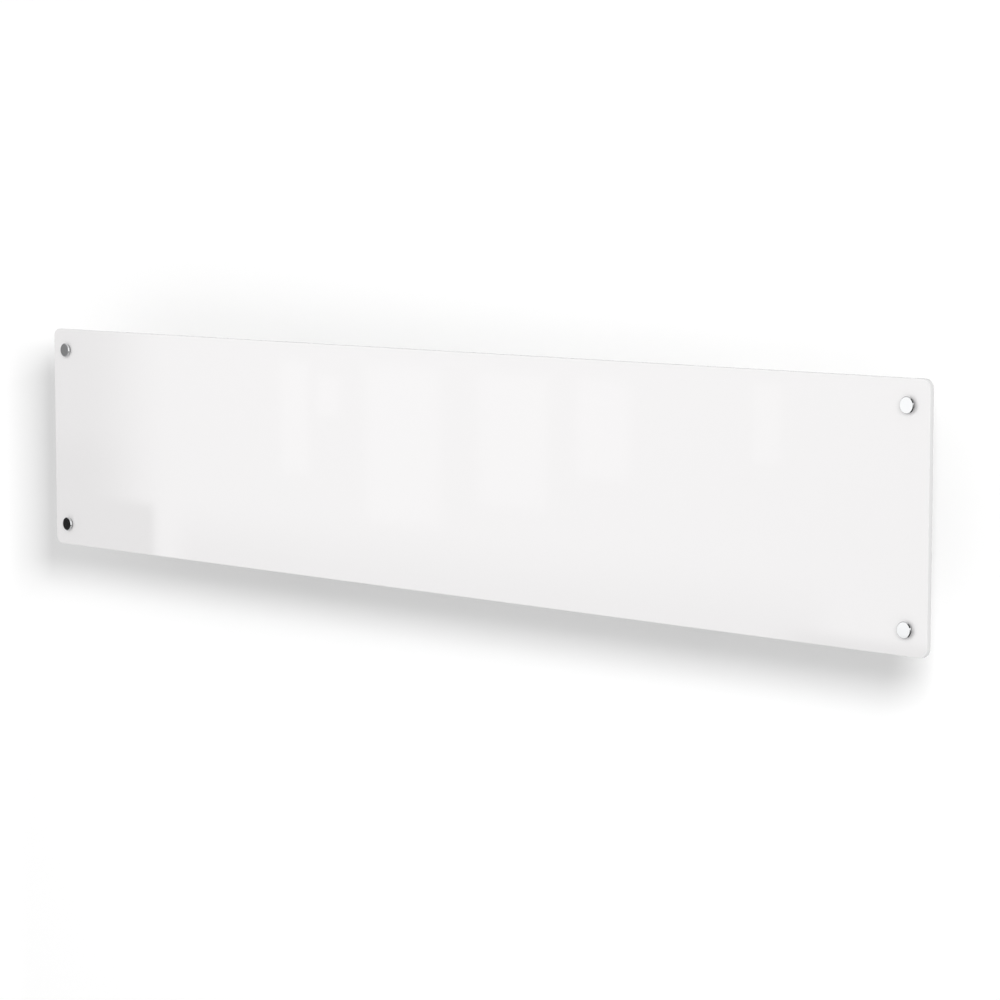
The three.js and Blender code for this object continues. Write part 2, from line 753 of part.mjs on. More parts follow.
// A lead from one place to another, which leaves and arrives square to what it meets
function lead(diameter, start, leave, finish, arrive) {
  const [from, to] = [new THREE.Vector3(...start), new THREE.Vector3(...finish)];
  const route = new THREE.CubicBezierCurve3(
    from,
    from.clone().add(new THREE.Vector3(...leave)),
    to.clone().add(new THREE.Vector3(...arrive)),
    to,
  );
  const section = new THREE.Shape().absarc(0, 0, diameter / 2, 0, 2 * Math.PI);
  const options = { steps: leadSteps, curveSegments: leadSides / 2, extrudePath: route };
  return new THREE.ExtrudeGeometry(section, options);
}

function supplyLead() {
  const start = [terminalX - terminalPitch, terminalY, terminalZ + terminalHeight / 2 + fit];
  return lead(leadDiameter, start, [0, 0, leadSwing], supplyPad, [0, 0, -leadSwing]);
}

function loadLead() {
  const finish = [cutoutX, bladeTipY - fit, cutoutZ + bladePitch / 2];
  return lead(leadDiameter, loadPad, [0, 0, -2 * leadSwing], finish, [0, -2 * leadTurn, 0]);
}

function elementLead() {
  const start = [cutoutX, bladeTipY - fit, cutoutZ - bladePitch / 2];
  const finish = [rodRightX + fit, midY, upperRodZ];
  return lead(leadDiameter, start, [0, -leadTurn, 0], finish, [2 * leadTurn, 0, 0]);
}

function returnLead() {
  const start = [rodRightX + fit, midY, lowerRodZ];
  const finish = [terminalX, terminalY, terminalZ - terminalHeight / 2 - fit];
  return lead(leadDiameter, start, [leadTurn, 0, 0], finish, [0, 0, -leadSwing]);
}

function sensorLead() {
  const start = [sensorX, sensorY, sensorTopZ + fit];
  return lead(sensorLeadDiameter, start, [0, 0, leadSwing], sensorPad, [0, 0, -leadSwing]);
}

// Wall bracket: a windowed plate, a hooked flange at each end, and two legs with a turned-up tab
function bracketPlate() {
  const [halfWidth, halfHeight, inner] = [bracketHalfWidth, hookTopZ, bracketHalfWidth - legWidth];
  const shape = outline([
    [-halfWidth, halfHeight],
    [-halfWidth, legBottomZ],
    [-inner, legBottomZ],
    [-inner, -halfHeight],
    [inner, -halfHeight],
    [inner, legBottomZ],
    [halfWidth, legBottomZ],
    [halfWidth, halfHeight],
  ]);
  const plate = runAlongY(shape, 0, bracketSheet);
  const places = [-2, -1, 1, 2];
  const windowWidth = (2 * halfWidth - (places.length + 1) * bracketWeb) / places.length;
  const windowHalfHeight = halfHeight - bracketBand;
  const through = [overrun, -bracketSheet - overrun];
  const windows = places.map((i) => {
    const x = Math.sign(i) * (Math.abs(i) - 1 / 2) * (windowWidth + bracketWeb);
    return box(around(x, windowWidth), through, [-windowHalfHeight, windowHalfHeight]);
  });
  const hole = rod(wallHoleDiameter / 2, -overrun, bracketSheet + overrun, roundSides, towardsRoom);
  const [holeX, holeZ] = [windowWidth + bracketWeb, halfHeight - bracketBand / 2];
  const holes = [[-1, -1], [-1, 1], [1, -1], [1, 1]].map(([side, level]) => (
    hole.clone().translate(side * holeX, 0, level * holeZ)
  ));
  return cut(plate, ...windows, ...holes);
}

function hookFlange(side) {
  const flange = backY + hookWallPlay;
  const lipInner = backInnerY - hookLipPlay;
  const lipOuter = lipInner - hookLipThickness;
  const profile = outline([
    [0, -hookTopZ],
    [0, hookTopZ],
    [flange, hookTopZ],
    [flange, hookSeatZ],
    [lipInner, hookSeatZ],
    [lipInner, hookTopZ],
    [lipOuter, hookTopZ],
    [lipOuter, hookSeatZ - hookTongue],
    [flange, hookSeatZ - hookTongue],
    [flange, -hookTopZ],
  ]);
  return runAlongX(profile, ...around(side * hookX, bracketSheet));
}

function bracketLeg(side) {
  const tabBackY = lockTabFrontY + bracketSheet;
  const tabTopZ = lockPivotZ + leverHalfWidth;
  const profile = outline([
    [0, legBottomZ],
    [0, legBottomZ + bracketSheet],
    [tabBackY, legBottomZ + bracketSheet],
    [tabBackY, tabTopZ],
    [lockTabFrontY, tabTopZ],
    [lockTabFrontY, legBottomZ],
  ]);
  return runAlongX(profile, ...around(side * lockX, legWidth));
}

function wallBracket() {
  const through = [-lockTabFrontY - bracketSheet - overrun, -lockTabFrontY + overrun];
  const pinHole = rod(leverPinDiameter / 2 + fit, ...through, roundSides, towardsRoom);
  const pinHoles = [-lockX, lockX].map((x) => pinHole.clone().translate(x, 0, lockPivotZ));
  const sides = [-1, 1];
  return cut(join(bracketPlate(), ...sides.map(hookFlange), ...sides.map(bracketLeg)), ...pinHoles);
}

function wallBuffer() {
  const [base, tip] = [bufferDiameter / 2, bufferDiameter / 2 - bufferTaper];
  const height = wallGap - bracketSheet - fit;
  const profile = [[0, 0], [base, 0], [base, bufferTaper], [tip, height], [0, height]];
  return turned(profile, smallSides, towardsRoom);
}

// A lock lever, lying across at rest: its heights run towards the room from its back face
function lockLever() {
  const end = leverReach - leverHalfWidth;
  const shape = new THREE.Shape();
  shape.absarc(end, 0, leverHalfWidth, -Math.PI / 2, Math.PI / 2);
  shape.absarc(-end, 0, leverHalfWidth, Math.PI / 2, Math.PI + Math.PI / 2);
  shape.closePath();
  const bar = runAlongY(shape, 0, leverThickness);
  const ribDepths = [-leverThickness / 2, -leverThickness - leverRibHeight];
  const rib = box([-end, end], ribDepths, around(0, leverRibWidth));
  const headFront = -fit - bracketSheet - fit;
  const headBack = headFront - leverHeadThickness;
  const pin = rod(leverPinDiameter / 2, headBack, leverThickness / 2, smallSides, towardsRoom);
  const head = rod(leverPinDiameter / 2 + leverHeadRim, headBack, headFront, smallSides, towardsRoom);
  return join(bar, rib, pin, head);
}

// Finishes
function finish(color, roughness, metalness) {
  return new THREE.MeshStandardMaterial({ color, roughness, metalness });
}

const whiteGlass = () => finish('#f0efee', 0.06, 0);
const chrome = () => finish('#d8dadc', 0.07, 1);
const zincSteel = () => finish('#a9adb0', 0.4, 1);
const whitePaint = () => finish('#e9e9e7', 0.5, 0);
const blackRubber = () => finish('#242424', 0.85, 0);
const aluminium = () => finish('#b9bcbe', 0.45, 1);
const ceramic = () => finish('#dedacf', 0.7, 0);
const whitePlastic = () => finish('#e6e6e3', 0.45, 0);
const greyPlastic = () => finish('#5c6063', 0.5, 0);
const darkWindow = () => finish('#15181a', 0.1, 0);
const boardGreen = () => finish('#2d5a3c', 0.6, 0);
const blackPlastic = () => finish('#1c1d1f', 0.4, 0);

// Assembly: each piece is a named mesh, placed in the group of the body that it moves with
function place(group, name, geometry, material, x = 0, y = 0, z = 0) {
  const mesh = new THREE.Mesh(geometry, material);
  mesh.name = name;
  mesh.position.set(x, y, z);
  group.add(mesh);
  return mesh;
}

const corners = [
  ['top_left', -1, 1],
  ['top_right', 1, 1],
  ['bottom_left', -1, -1],
  ['bottom_right', 1, -1],
];
const ends = [['left', -1], ['right', 1]];

function buildBracket() {
  const group = new THREE.Group();
  place(group, 'wall_bracket', wallBracket(), zincSteel());
  for (const [end, side] of ends) {
    const bufferZ = -(hookTopZ - bracketBand / 2);
    place(group, `wall_buffer_${end}`, wallBuffer(), blackRubber(), side * lockX, -bracketSheet, bufferZ);
    place(group, `lock_lever_${end}`, lockLever(), blackPlastic(), side * lockX, leverBackY, lockPivotZ);
  }
  return group;
}

function buildFront() {
  const group = new THREE.Group();
  place(group, 'glass_panel', glassPanel(), whiteGlass(), 0, glassBackY, 0);
  for (const [corner, side, level] of corners) {
    const at = [side * capX, glassFrontY, level * capZ];
    place(group, `glass_cap_${corner}`, cap(), chrome(), ...at);
    place(group, `glass_grommet_${corner}`, grommet(), blackRubber(), ...at);
    place(group, `cap_stud_${corner}`, capStud(), zincSteel(), ...at);
    place(group, `glass_spacer_${corner}`, glassSpacer(), zincSteel(), ...at);
  }
  for (const [end, side] of ends) place(group, `glass_rail_${end}`, glassRail(side), whitePaint());
  return group;
}

function buildCasing() {
  const group = new THREE.Group();
  place(group, 'casing_front', casingFront(), whitePaint());
  place(group, 'casing_back', casingBack(), whitePaint());
  place(group, 'top_grille', grille(controlX, foldOuterZ), whitePaint());
  place(group, 'bottom_grille', grille(sheetEndX, -casingHalfHeight), whitePaint());
  place(group, 'end_plate_left', endPlate(-1), whitePaint());
  place(group, 'end_plate_right', rightEndPlate(), whitePaint());
  return group;
}

function buildElement() {
  const group = new THREE.Group();
  place(group, 'element_fins', elementFins(), aluminium());
  place(group, 'element_rod_lower', elementRod(lowerRodZ), zincSteel());
  place(group, 'element_rod_upper', elementRod(upperRodZ), zincSteel());
  place(group, 'element_link', elementLink(), zincSteel());
  place(group, 'element_holder_left', elementHolder(leftHolderX, leftHolderX + holderLength), ceramic());
  place(group, 'element_holder_right', elementHolder(rightHolderX - holderLength, rightHolderX), ceramic());
  place(group, 'heat_reflector', heatReflector(), aluminium());
  place(group, 'thermal_cutout', thermalCutout(), blackPlastic(), cutoutX, backInnerY, cutoutZ);
  return group;
}

function buildControls() {
  const group = new THREE.Group();
  place(group, 'control_tray', controlTray(), greyPlastic());
  place(group, 'control_fascia', controlFascia(), whitePlastic());
  place(group, 'display_window', displayWindow(), darkWindow(), displayX, midY, foldOuterZ);
  place(group, 'circuit_board', circuitBoard(), boardGreen());
  place(group, 'power_relay', powerRelay(), blackPlastic());
  const names = ['minus', 'plus', 'mode'];
  buttonPlaces().forEach((x, i) => {
    place(group, `button_${names[i]}`, pushButton(), greyPlastic(), x, midY, foldOuterZ);
  });
  place(group, 'switch_frame', switchFrame(), blackPlastic(), 0, midY, 0);
  const rocker = place(group, 'power_rocker', powerRocker(), whitePlastic(), switchPinX, midY, 0);
  rocker.rotation.y = -THREE.MathUtils.degToRad(rockerTilt);
  return group;
}

function buildWiring() {
  const group = new THREE.Group();
  place(group, 'cord_gland', cordGland(), blackPlastic(), casingHalfWidth, midY, glandZ);
  place(group, 'terminal_block', terminalBlock(), whitePlastic(), terminalX, terminalY, terminalZ);
  place(group, 'room_sensor', roomSensor(), blackPlastic(), sensorX, sensorY, -foldOuterZ);
  place(group, 'lead_supply', supplyLead(), blackRubber());
  place(group, 'lead_load', loadLead(), blackRubber());
  place(group, 'lead_element', elementLead(), blackRubber());
  place(group, 'lead_return', returnLead(), blackRubber());
  place(group, 'lead_sensor', sensorLead(), blackRubber());
  return group;
}

const heater = new THREE.Group();
heater.add(buildFront(), buildCasing(), buildElement(), buildControls(), buildWiring());

const assembly = new THREE.Group();
assembly.add(buildBracket(), heater);

export default assembly;
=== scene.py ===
import math

import bmesh
import bpy
from mathutils import Matrix, Vector


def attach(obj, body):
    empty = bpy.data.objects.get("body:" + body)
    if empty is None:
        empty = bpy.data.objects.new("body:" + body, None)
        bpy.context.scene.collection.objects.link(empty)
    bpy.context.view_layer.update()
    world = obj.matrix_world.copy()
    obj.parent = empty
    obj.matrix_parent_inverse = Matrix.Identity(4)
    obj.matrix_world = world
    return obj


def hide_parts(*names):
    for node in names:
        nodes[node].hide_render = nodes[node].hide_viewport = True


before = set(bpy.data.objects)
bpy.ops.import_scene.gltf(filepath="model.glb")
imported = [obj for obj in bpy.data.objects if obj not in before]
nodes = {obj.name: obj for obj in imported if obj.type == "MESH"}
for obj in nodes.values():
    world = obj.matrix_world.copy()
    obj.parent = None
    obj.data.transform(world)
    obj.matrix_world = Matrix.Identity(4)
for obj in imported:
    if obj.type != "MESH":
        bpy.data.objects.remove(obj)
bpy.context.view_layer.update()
mm = 0.001

# Sizes that several pieces share, in millimetres
heater = {
    "glassFront": -86.0,
    "glassBack": -81.0,
    "glassHalfWidth": 635.0,
    "glassHalfHeight": 125.0,
    "fixingX": 611.0,
    "fixingZ": 101.0,
    "casingFront": -66.0,
    "casingMiddle": -45.0,
    "casingTop": 95.0,
    "holeRadius": 5.6,
    "weld": 0.002,
}


def addNode(tree, kind, inputs=None, **settings):
    # A node with its settings, and its inputs as values or as other nodes' outputs
    made = tree.nodes.new(kind)
    for name, value in settings.items():
        setattr(made, name, value)
    for name, value in (inputs or {}).items():
        if isinstance(value, bpy.types.NodeSocket):
            tree.links.new(value, made.inputs[name])
        else:
            made.inputs[name].default_value = value
    return made


def addMath(tree, operation, *values):
    # The result of a sum on numbers or on other nodes' outputs
    return addNode(tree, "ShaderNodeMath", dict(enumerate(values)), operation=operation).outputs[0]


def mapped(tree, value, fromLow, fromHigh, toLow=0.0, toHigh=1.0, **settings):
    # A value carried from one range to another, and held at its ends
    return addNode(tree, "ShaderNodeMapRange", {
        "Value": value, "From Min": fromLow, "From Max": fromHigh, "To Min": toLow, "To Max": toHigh,
    }, **settings).outputs["Result"]


def newTree(name, kind, inputs, outputs):
    # A node group with its sockets as name and type; returns it, what comes in and what goes out
    tree = bpy.data.node_groups.new(name, kind)
    for way, sockets in (("INPUT", inputs), ("OUTPUT", outputs)):
        for label, socketType in sockets.items():
            tree.interface.new_socket(label, in_out=way, socket_type="NodeSocket" + socketType)
    return tree, tree.nodes.new("NodeGroupInput").outputs, tree.nodes.new("NodeGroupOutput").inputs


# The span of a noise that turns one colour to the other, and the value that leaves the roughness as it is
noiseRange = {"driftFrom": 0.35, "driftTo": 0.7, "rubMiddle": 0.22}


def grainGroup():
    # Fine bumps of paint, cast metal or moulded plastic
    inputs = {"Vector": "Vector", "Scale": "Float", "Roundness": "Float"}
    tree, given, result = newTree("surfaceGrain", "ShaderNodeTree", inputs, {"Height": "Float"})
    where = {"Vector": given["Vector"], "Scale": given["Scale"]}
    noise = addNode(tree, "ShaderNodeTexNoise", {**where, "Detail": 3.0})
    cells = addNode(tree, "ShaderNodeTexVoronoi", where, feature="SMOOTH_F1")
    parts = {0: given["Roundness"], 2: noise.outputs["Fac"], 3: cells.outputs["Distance"]}
    tree.links.new(addNode(tree, "ShaderNodeMix", parts).outputs[0], result["Height"])
    return tree


def driftGroup():
    # A colour that drifts a little over a large piece, as paint, plating and glass do
    inputs = {"Vector": "Vector", "Color": "Color", "Second": "Color", "Scale": "Float", "Amount": "Float"}
    tree, given, result = newTree("toneDrift", "ShaderNodeTree", inputs, {"Color": "Color"})
    where = {"Vector": given["Vector"], "Scale": given["Scale"]}
    noise = addNode(tree, "ShaderNodeTexNoise", {**where, "Detail": 4.0, "Roughness": 0.6})
    share = mapped(tree, noise.outputs["Fac"], noiseRange["driftFrom"], noiseRange["driftTo"])
    share = addMath(tree, "MULTIPLY", share, given["Amount"])
    parts = {0: share, 6: given["Color"], 7: given["Second"]}
    tree.links.new(addNode(tree, "ShaderNodeMix", parts, data_type="RGBA").outputs[2], result["Color"])
    return tree


def rubGroup():
    # Faint rubbing and fine scratches, as a change of roughness
    inputs = {"Vector": "Vector", "Scale": "Float", "Roughness": "Float", "Change": "Float"}
    tree, given, result = newTree("lightRub", "ShaderNodeTree", inputs, {"Roughness": "Float"})
    stretch = addNode(tree, "ShaderNodeMapping", {
        "Vector": given["Vector"], "Rotation": (0.0, 0.5, 0.0), "Scale": (0.08, 1.0, 1.0),
    })
    lines = addNode(tree, "ShaderNodeTexNoise", {
        "Vector": stretch.outputs["Vector"], "Scale": given["Scale"], "Detail": 6.0,
    })
    patches = addNode(tree, "ShaderNodeTexNoise", {"Vector": given["Vector"], "Scale": 9.0})
    both = addMath(tree, "MULTIPLY", lines.outputs["Fac"], patches.outputs["Fac"])
    change = addMath(tree, "SUBTRACT", both, noiseRange["rubMiddle"])
    rubbed = addMath(tree, "MULTIPLY_ADD", change, given["Change"], given["Roughness"])
    tree.links.new(rubbed, result["Roughness"])
    return tree


groups = {"grain": grainGroup(), "drift": driftGroup(), "rub": rubGroup()}

# Per finish: two colours that drift (scale, amount), roughness with its rubbing (scale, change),
# grain (scale, roundness, strength), and a coat (weight, roughness) where it has one
finishes = {
    "enamelledGlass": {
        "color": (0.836, 0.825, 0.827), "second": (0.835, 0.825, 0.826), "drift": (2.0, 0.5),
        "roughness": 0.42, "rub": (30.0, 0.05), "grain": (1500.0, 0.2, 0.0),
        "coat": (1.0, 0.015), "coatIor": 1.53, "ior": 1.45,
    },
    "groundGlassEdge": {
        "color": (0.822, 0.822, 0.82), "second": (0.79, 0.795, 0.792), "drift": (30.0, 0.6),
        "roughness": 0.16, "rub": (120.0, 0.1), "grain": (2500.0, 0.3, 0.02), "coat": (0.6, 0.05),
    },
    "glassBackCoat": {
        "color": (0.74, 0.74, 0.735), "second": (0.68, 0.68, 0.675), "drift": (14.0, 0.5),
        "roughness": 0.62, "rub": (60.0, 0.15), "grain": (1300.0, 0.4, 0.15), "ior": 1.45,
    },
    "polishedChrome": {
        "color": (0.61, 0.615, 0.62), "second": (0.58, 0.59, 0.6), "drift": (60.0, 0.3),
        "roughness": 0.045, "rub": (300.0, 0.06), "grain": (3000.0, 0.2, 0.004), "metal": 1.0,
    },
    "zincPlate": {
        "color": (0.52, 0.54, 0.55), "second": (0.42, 0.44, 0.46), "drift": (26.0, 0.9),
        "roughness": 0.38, "rub": (90.0, 0.5), "grain": (1400.0, 0.7, 0.08), "metal": 1.0,
    },
    "powderCoat": {
        "color": (0.79, 0.79, 0.78), "second": (0.75, 0.75, 0.74), "drift": (5.0, 0.5),
        "roughness": 0.42, "rub": (40.0, 0.2), "grain": (1100.0, 0.6, 0.3),
    },
    "softRubber": {
        "color": (0.018, 0.018, 0.018), "second": (0.032, 0.031, 0.03), "drift": (70.0, 0.8),
        "roughness": 0.78, "rub": (90.0, 0.3), "grain": (1600.0, 0.3, 0.35),
    },
    "rawAluminium": {
        "color": (0.6, 0.61, 0.62), "second": (0.5, 0.51, 0.52), "drift": (34.0, 0.8),
        "roughness": 0.36, "rub": (160.0, 0.6), "grain": (1200.0, 0.1, 0.12), "metal": 1.0,
    },
    "heatedSteel": {
        "color": (0.36, 0.35, 0.34), "second": (0.27, 0.23, 0.2), "drift": (22.0, 0.9),
        "roughness": 0.42, "rub": (120.0, 0.5), "grain": (1300.0, 0.2, 0.1), "metal": 1.0,
    },
    "firedCeramic": {
        "color": (0.72, 0.69, 0.61), "second": (0.62, 0.58, 0.5), "drift": (40.0, 0.7),
        "roughness": 0.66, "rub": (90.0, 0.2), "grain": (900.0, 0.4, 0.4), "ior": 1.6,
    },
    "whiteMoulding": {
        "color": (0.77, 0.77, 0.755), "second": (0.73, 0.73, 0.715), "drift": (12.0, 0.5),
        "roughness": 0.4, "rub": (80.0, 0.2), "grain": (2200.0, 0.5, 0.25), "ior": 1.46,
    },
    "greyMoulding": {
        "color": (0.11, 0.12, 0.125), "second": (0.08, 0.088, 0.092), "drift": (30.0, 0.6),
        "roughness": 0.48, "rub": (90.0, 0.3), "grain": (2200.0, 0.5, 0.3), "ior": 1.46,
    },
    "darkWindow": {
        "color": (0.008, 0.009, 0.01), "second": (0.012, 0.013, 0.014), "drift": (30.0, 0.5),
        "roughness": 0.07, "rub": (160.0, 0.1), "grain": (2600.0, 0.3, 0.004),
        "coat": (0.4, 0.03), "ior": 1.49,
    },
    "boardLacquer": {
        "color": (0.026, 0.1, 0.045), "second": (0.02, 0.075, 0.035), "drift": (60.0, 0.6),
        "roughness": 0.34, "rub": (140.0, 0.2), "grain": (1600.0, 0.1, 0.2),
    },
    "blackMoulding": {
        "color": (0.012, 0.013, 0.014), "second": (0.02, 0.021, 0.022), "drift": (40.0, 0.6),
        "roughness": 0.42, "rub": (90.0, 0.35), "grain": (2200.0, 0.5, 0.3), "ior": 1.46,
    },
    "leadSleeve": {
        "color": (0.03, 0.03, 0.032), "second": (0.05, 0.05, 0.052), "drift": (60.0, 0.7),
        "roughness": 0.5, "rub": (160.0, 0.3), "grain": (1800.0, 0.2, 0.15),
    },
    "printedMark": {
        "color": (0.7, 0.7, 0.69), "second": (0.62, 0.62, 0.61), "drift": (120.0, 0.6),
        "roughness": 0.55, "rub": (160.0, 0.2), "grain": (2600.0, 0.3, 0.2), "ior": 1.46,
    },
}
plainFinish = {"metal": 0.0, "ior": 1.5, "coatIor": 1.5, "coat": (0.0, 0.03), "bumpDepth": 0.0002}


def makeFinish(name, look):
    # Every finish drifts in colour, is rubbed, and has fine bumps, on Object coordinates
    look = {**plainFinish, **look}
    material = bpy.data.materials.new(name)
    material.use_nodes = True
    tree = material.node_tree
    place = addNode(tree, "ShaderNodeTexCoord").outputs["Object"]
    drift = addNode(tree, "ShaderNodeGroup", {
        "Vector": place, "Color": (*look["color"], 1.0), "Second": (*look["second"], 1.0),
        "Scale": look["drift"][0], "Amount": look["drift"][1],
    }, node_tree=groups["drift"])
    rub = addNode(tree, "ShaderNodeGroup", {
        "Vector": place, "Roughness": look["roughness"], "Scale": look["rub"][0], "Change": look["rub"][1],
    }, node_tree=groups["rub"])
    shader = tree.nodes["Principled BSDF"].inputs
    tree.links.new(drift.outputs["Color"], shader["Base Color"])
    tree.links.new(rub.outputs["Roughness"], shader["Roughness"])
    grainScale, roundness, strength = look["grain"]
    if strength > 0.0:
        grain = addNode(tree, "ShaderNodeGroup", {
            "Vector": place, "Scale": grainScale, "Roundness": roundness,
        }, node_tree=groups["grain"])
        bump = addNode(tree, "ShaderNodeBump", {
            "Strength": strength, "Distance": look["bumpDepth"], "Height": grain.outputs["Height"],
        })
        tree.links.new(bump.outputs["Normal"], shader["Normal"])
    shader["Metallic"].default_value = look["metal"]
    shader["IOR"].default_value = look["ior"]
    shader["Coat IOR"].default_value = look["coatIor"]
    shader["Coat Weight"].default_value, shader["Coat Roughness"].default_value = look["coat"]
    return material


materials = {name: makeFinish(name, look) for name, look in finishes.items()}
print("materials made:", len(materials))


def addObject(name, mesh):
    piece = bpy.data.objects.new(name, mesh)
    bpy.context.scene.collection.objects.link(piece)
    return piece


def workOn(mesh):
    work = bmesh.new()
    work.from_mesh(mesh)
    return work


def putBack(work, mesh):
    work.to_mesh(mesh)
    work.free()


def toMesh(work, name):
    mesh = bpy.data.meshes.new(name)
    putBack(work, mesh)
    return mesh


def fromObject(source):
    # What an object's curve or modifiers make, as a plain mesh
    depsgraph = bpy.context.evaluated_depsgraph_get()
    return bpy.data.meshes.new_from_object(source.evaluated_get(depsgraph))


def settle(mesh, sharpAngle=38.0):
    # Smooth faces, with the edges kept sharp that turn by more than the angle
    work = workOn(mesh)
    for face in work.faces:
        face.smooth = True
    for edge in work.edges:
        edge.smooth = len(edge.link_faces) == 2 and edge.calc_face_angle() < math.radians(sharpAngle)
    putBack(work, mesh)


def bake(piece, sharpAngle=None):
    # The modifiers' result as the piece's own mesh, and no modifier left
    mesh = fromObject(piece)
    piece.modifiers.clear()
    piece.data = mesh
    mesh.name = piece.name
    if sharpAngle is not None:
        settle(mesh, sharpAngle)
    return piece


def handOver(piece, body, slotName, *standsFor):
    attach(piece, body)
    if standsFor:
        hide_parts(*standsFor)


def moved(x, y, z):
    return Matrix.Translation((x * mm, y * mm, z * mm))


def arc(centreA, centreB, radius, fromAngle, toAngle, steps):
    return [
        (centreA + radius * math.cos(math.radians(angle)), centreB + radius * math.sin(math.radians(angle)))
        for angle in (fromAngle + (toAngle - fromAngle) * step / steps for step in range(steps + 1))
    ]


axes = {
    "x": Matrix(((0, 0, 1), (1, 0, 0), (0, 1, 0))).to_4x4(),
    "room": Matrix(((1, 0, 0), (0, 0, -1), (0, 1, 0))).to_4x4(),
    "z": Matrix.Identity(4),
}


def turnedMesh(name, profile, sides, axis, closed=False):
    # A profile of radius and height in millimetres, turned about an axis
    work = bmesh.new()
    rings = []
    for radius, height in profile:
        spots = arc(0.0, 0.0, radius, 0, 360, sides)[:-1] if radius > 0.0 else [(0.0, 0.0)]
        rings.append([work.verts.new((a * mm, b * mm, height * mm)) for a, b in spots])
    pairs = list(zip(rings, rings[1:]))
    if closed:
        pairs.append((rings[-1], rings[0]))
    for low, high in pairs:
        for side in range(sides):
            after = (side + 1) % sides
            corners = ((low, side), (low, after), (high, after), (high, side))
            distinct = list(dict.fromkeys(ring[spot % len(ring)] for ring, spot in corners))
            if len(distinct) > 2:
                work.faces.new(distinct)
    bmesh.ops.recalc_face_normals(work, faces=work.faces)
    mesh = toMesh(work, name)
    mesh.transform(axes[axis])
    return mesh


def filledMesh(name, loops, halfDepth, place, rim=0.0, rimSteps=0):
    # Closed loops in millimetres, filled and given a depth, with a rounded rim where one is asked for
    curve = bpy.data.curves.new(name, "CURVE")
    curve.dimensions = "2D"
    curve.fill_mode = "BOTH"
    for loop in loops:
        spline = curve.splines.new("POLY")
        spline.points.add(len(loop) - 1)
        for point, (a, b) in zip(spline.points, loop):
            point.co = (a * mm, b * mm, 0.0, 1.0)
        spline.use_cyclic_u = True
    curve.extrude = (halfDepth - rim) * mm
    curve.bevel_depth = rim * mm
    curve.bevel_resolution = rimSteps
    curve.offset = -rim * mm
    source = addObject(name + "Curve", curve)
    mesh = fromObject(source)
    bpy.data.objects.remove(source)
    mesh.transform(place)
    mesh.materials.clear()
    work = workOn(mesh)
    bmesh.ops.remove_doubles(work, verts=work.verts, dist=heater["weld"] * mm)
    bmesh.ops.recalc_face_normals(work, faces=work.faces)
    putBack(work, mesh)
    return mesh


softEdge = {"flatAngle": 0.6, "fromAngle": 28.0}


def softCopy(nodeName, finish, width, segments):
    # A CAD node's shape with its edges rounded by a small width in millimetres
    first, *rest = nodeName.split("_")
    name = first + "".join(word.capitalize() for word in rest)
    mesh = nodes[nodeName].data.copy()
    mesh.name = name
    work = workOn(mesh)
    bmesh.ops.remove_doubles(work, verts=work.verts, dist=heater["weld"] * mm)
    flat = math.radians(softEdge["flatAngle"])
    bmesh.ops.dissolve_limit(work, angle_limit=flat, verts=work.verts, edges=work.edges)
    putBack(work, mesh)
    mesh.materials.clear()
    mesh.materials.append(materials[finish])
    piece = addObject(name, mesh)
    bevel = piece.modifiers.new("rounded edges", "BEVEL")
    bevel.width = width * mm
    bevel.segments = segments
    bevel.limit_method = "ANGLE"
    bevel.angle_limit = math.radians(softEdge["fromAngle"])
    bevel.use_clamp_overlap = True
    bevel.harden_normals = True
    return bake(piece)


def newGrowth(name, inputs):
    # A Geometry Nodes tree, which takes a seed mesh and a finish besides its own inputs
    inputs = {"Geometry": "Geometry", **inputs, "Finish": "Material"}
    return newTree(name, "GeometryNodeTree", inputs, {"Geometry": "Geometry"})


def finishTree(tree, given, result, geometry):
    # The last nodes of every tree: real geometry, in one finish
    realized = addNode(tree, "GeometryNodeRealizeInstances", {"Geometry": geometry})
    painted = addNode(tree, "GeometryNodeSetMaterial", {
        "Geometry": realized.outputs["Geometry"], "Material": given["Finish"],
    })
    tree.links.new(painted.outputs["Geometry"], result["Geometry"])
    return tree


def putAt(tree, points, piece):
    places = addNode(tree, "GeometryNodeInstanceOnPoints", {"Points": points, "Instance": piece})
    return places.outputs["Instances"]


def shifted(tree, geometry, **change):
    # A copy moved or turned, by Translation or Rotation
    return addNode(tree, "GeometryNodeTransform", {"Geometry": geometry, **change}).outputs["Geometry"]


def vectorOf(tree, **parts):
    return addNode(tree, "ShaderNodeCombineXYZ", parts).outputs["Vector"]


def alongLine(tree, given):
    line = addNode(tree, "GeometryNodeMeshLine", {
        "Count": given["Count"], "Start Location": given["First"], "Offset": given["Step"],
    }, mode="OFFSET")
    return line.outputs["Mesh"]


lineInputs = {"Count": "Int", "First": "Vector", "Step": "Vector"}


def cornerSetTree():
    # The turned piece that goes in, once at each corner of the glass
    tree, given, result = newGrowth("cornerSet", {"Half Width": "Float", "Half Height": "Float"})
    grid = addNode(tree, "GeometryNodeMeshGrid", {
        "Size X": addMath(tree, "MULTIPLY", given["Half Width"], 2.0),
        "Size Y": addMath(tree, "MULTIPLY", given["Half Height"], 2.0),
        "Vertices X": 2, "Vertices Y": 2,
    })
    upright = shifted(tree, grid.outputs["Mesh"], Rotation=(math.radians(90.0), 0.0, 0.0))
    return finishTree(tree, given, result, putAt(tree, upright, given["Geometry"]))


def rowTree():
    # The piece that goes in, repeated along a line
    tree, given, result = newGrowth("evenRow", lineInputs)
    return finishTree(tree, given, result, putAt(tree, alongLine(tree, given), given["Geometry"]))


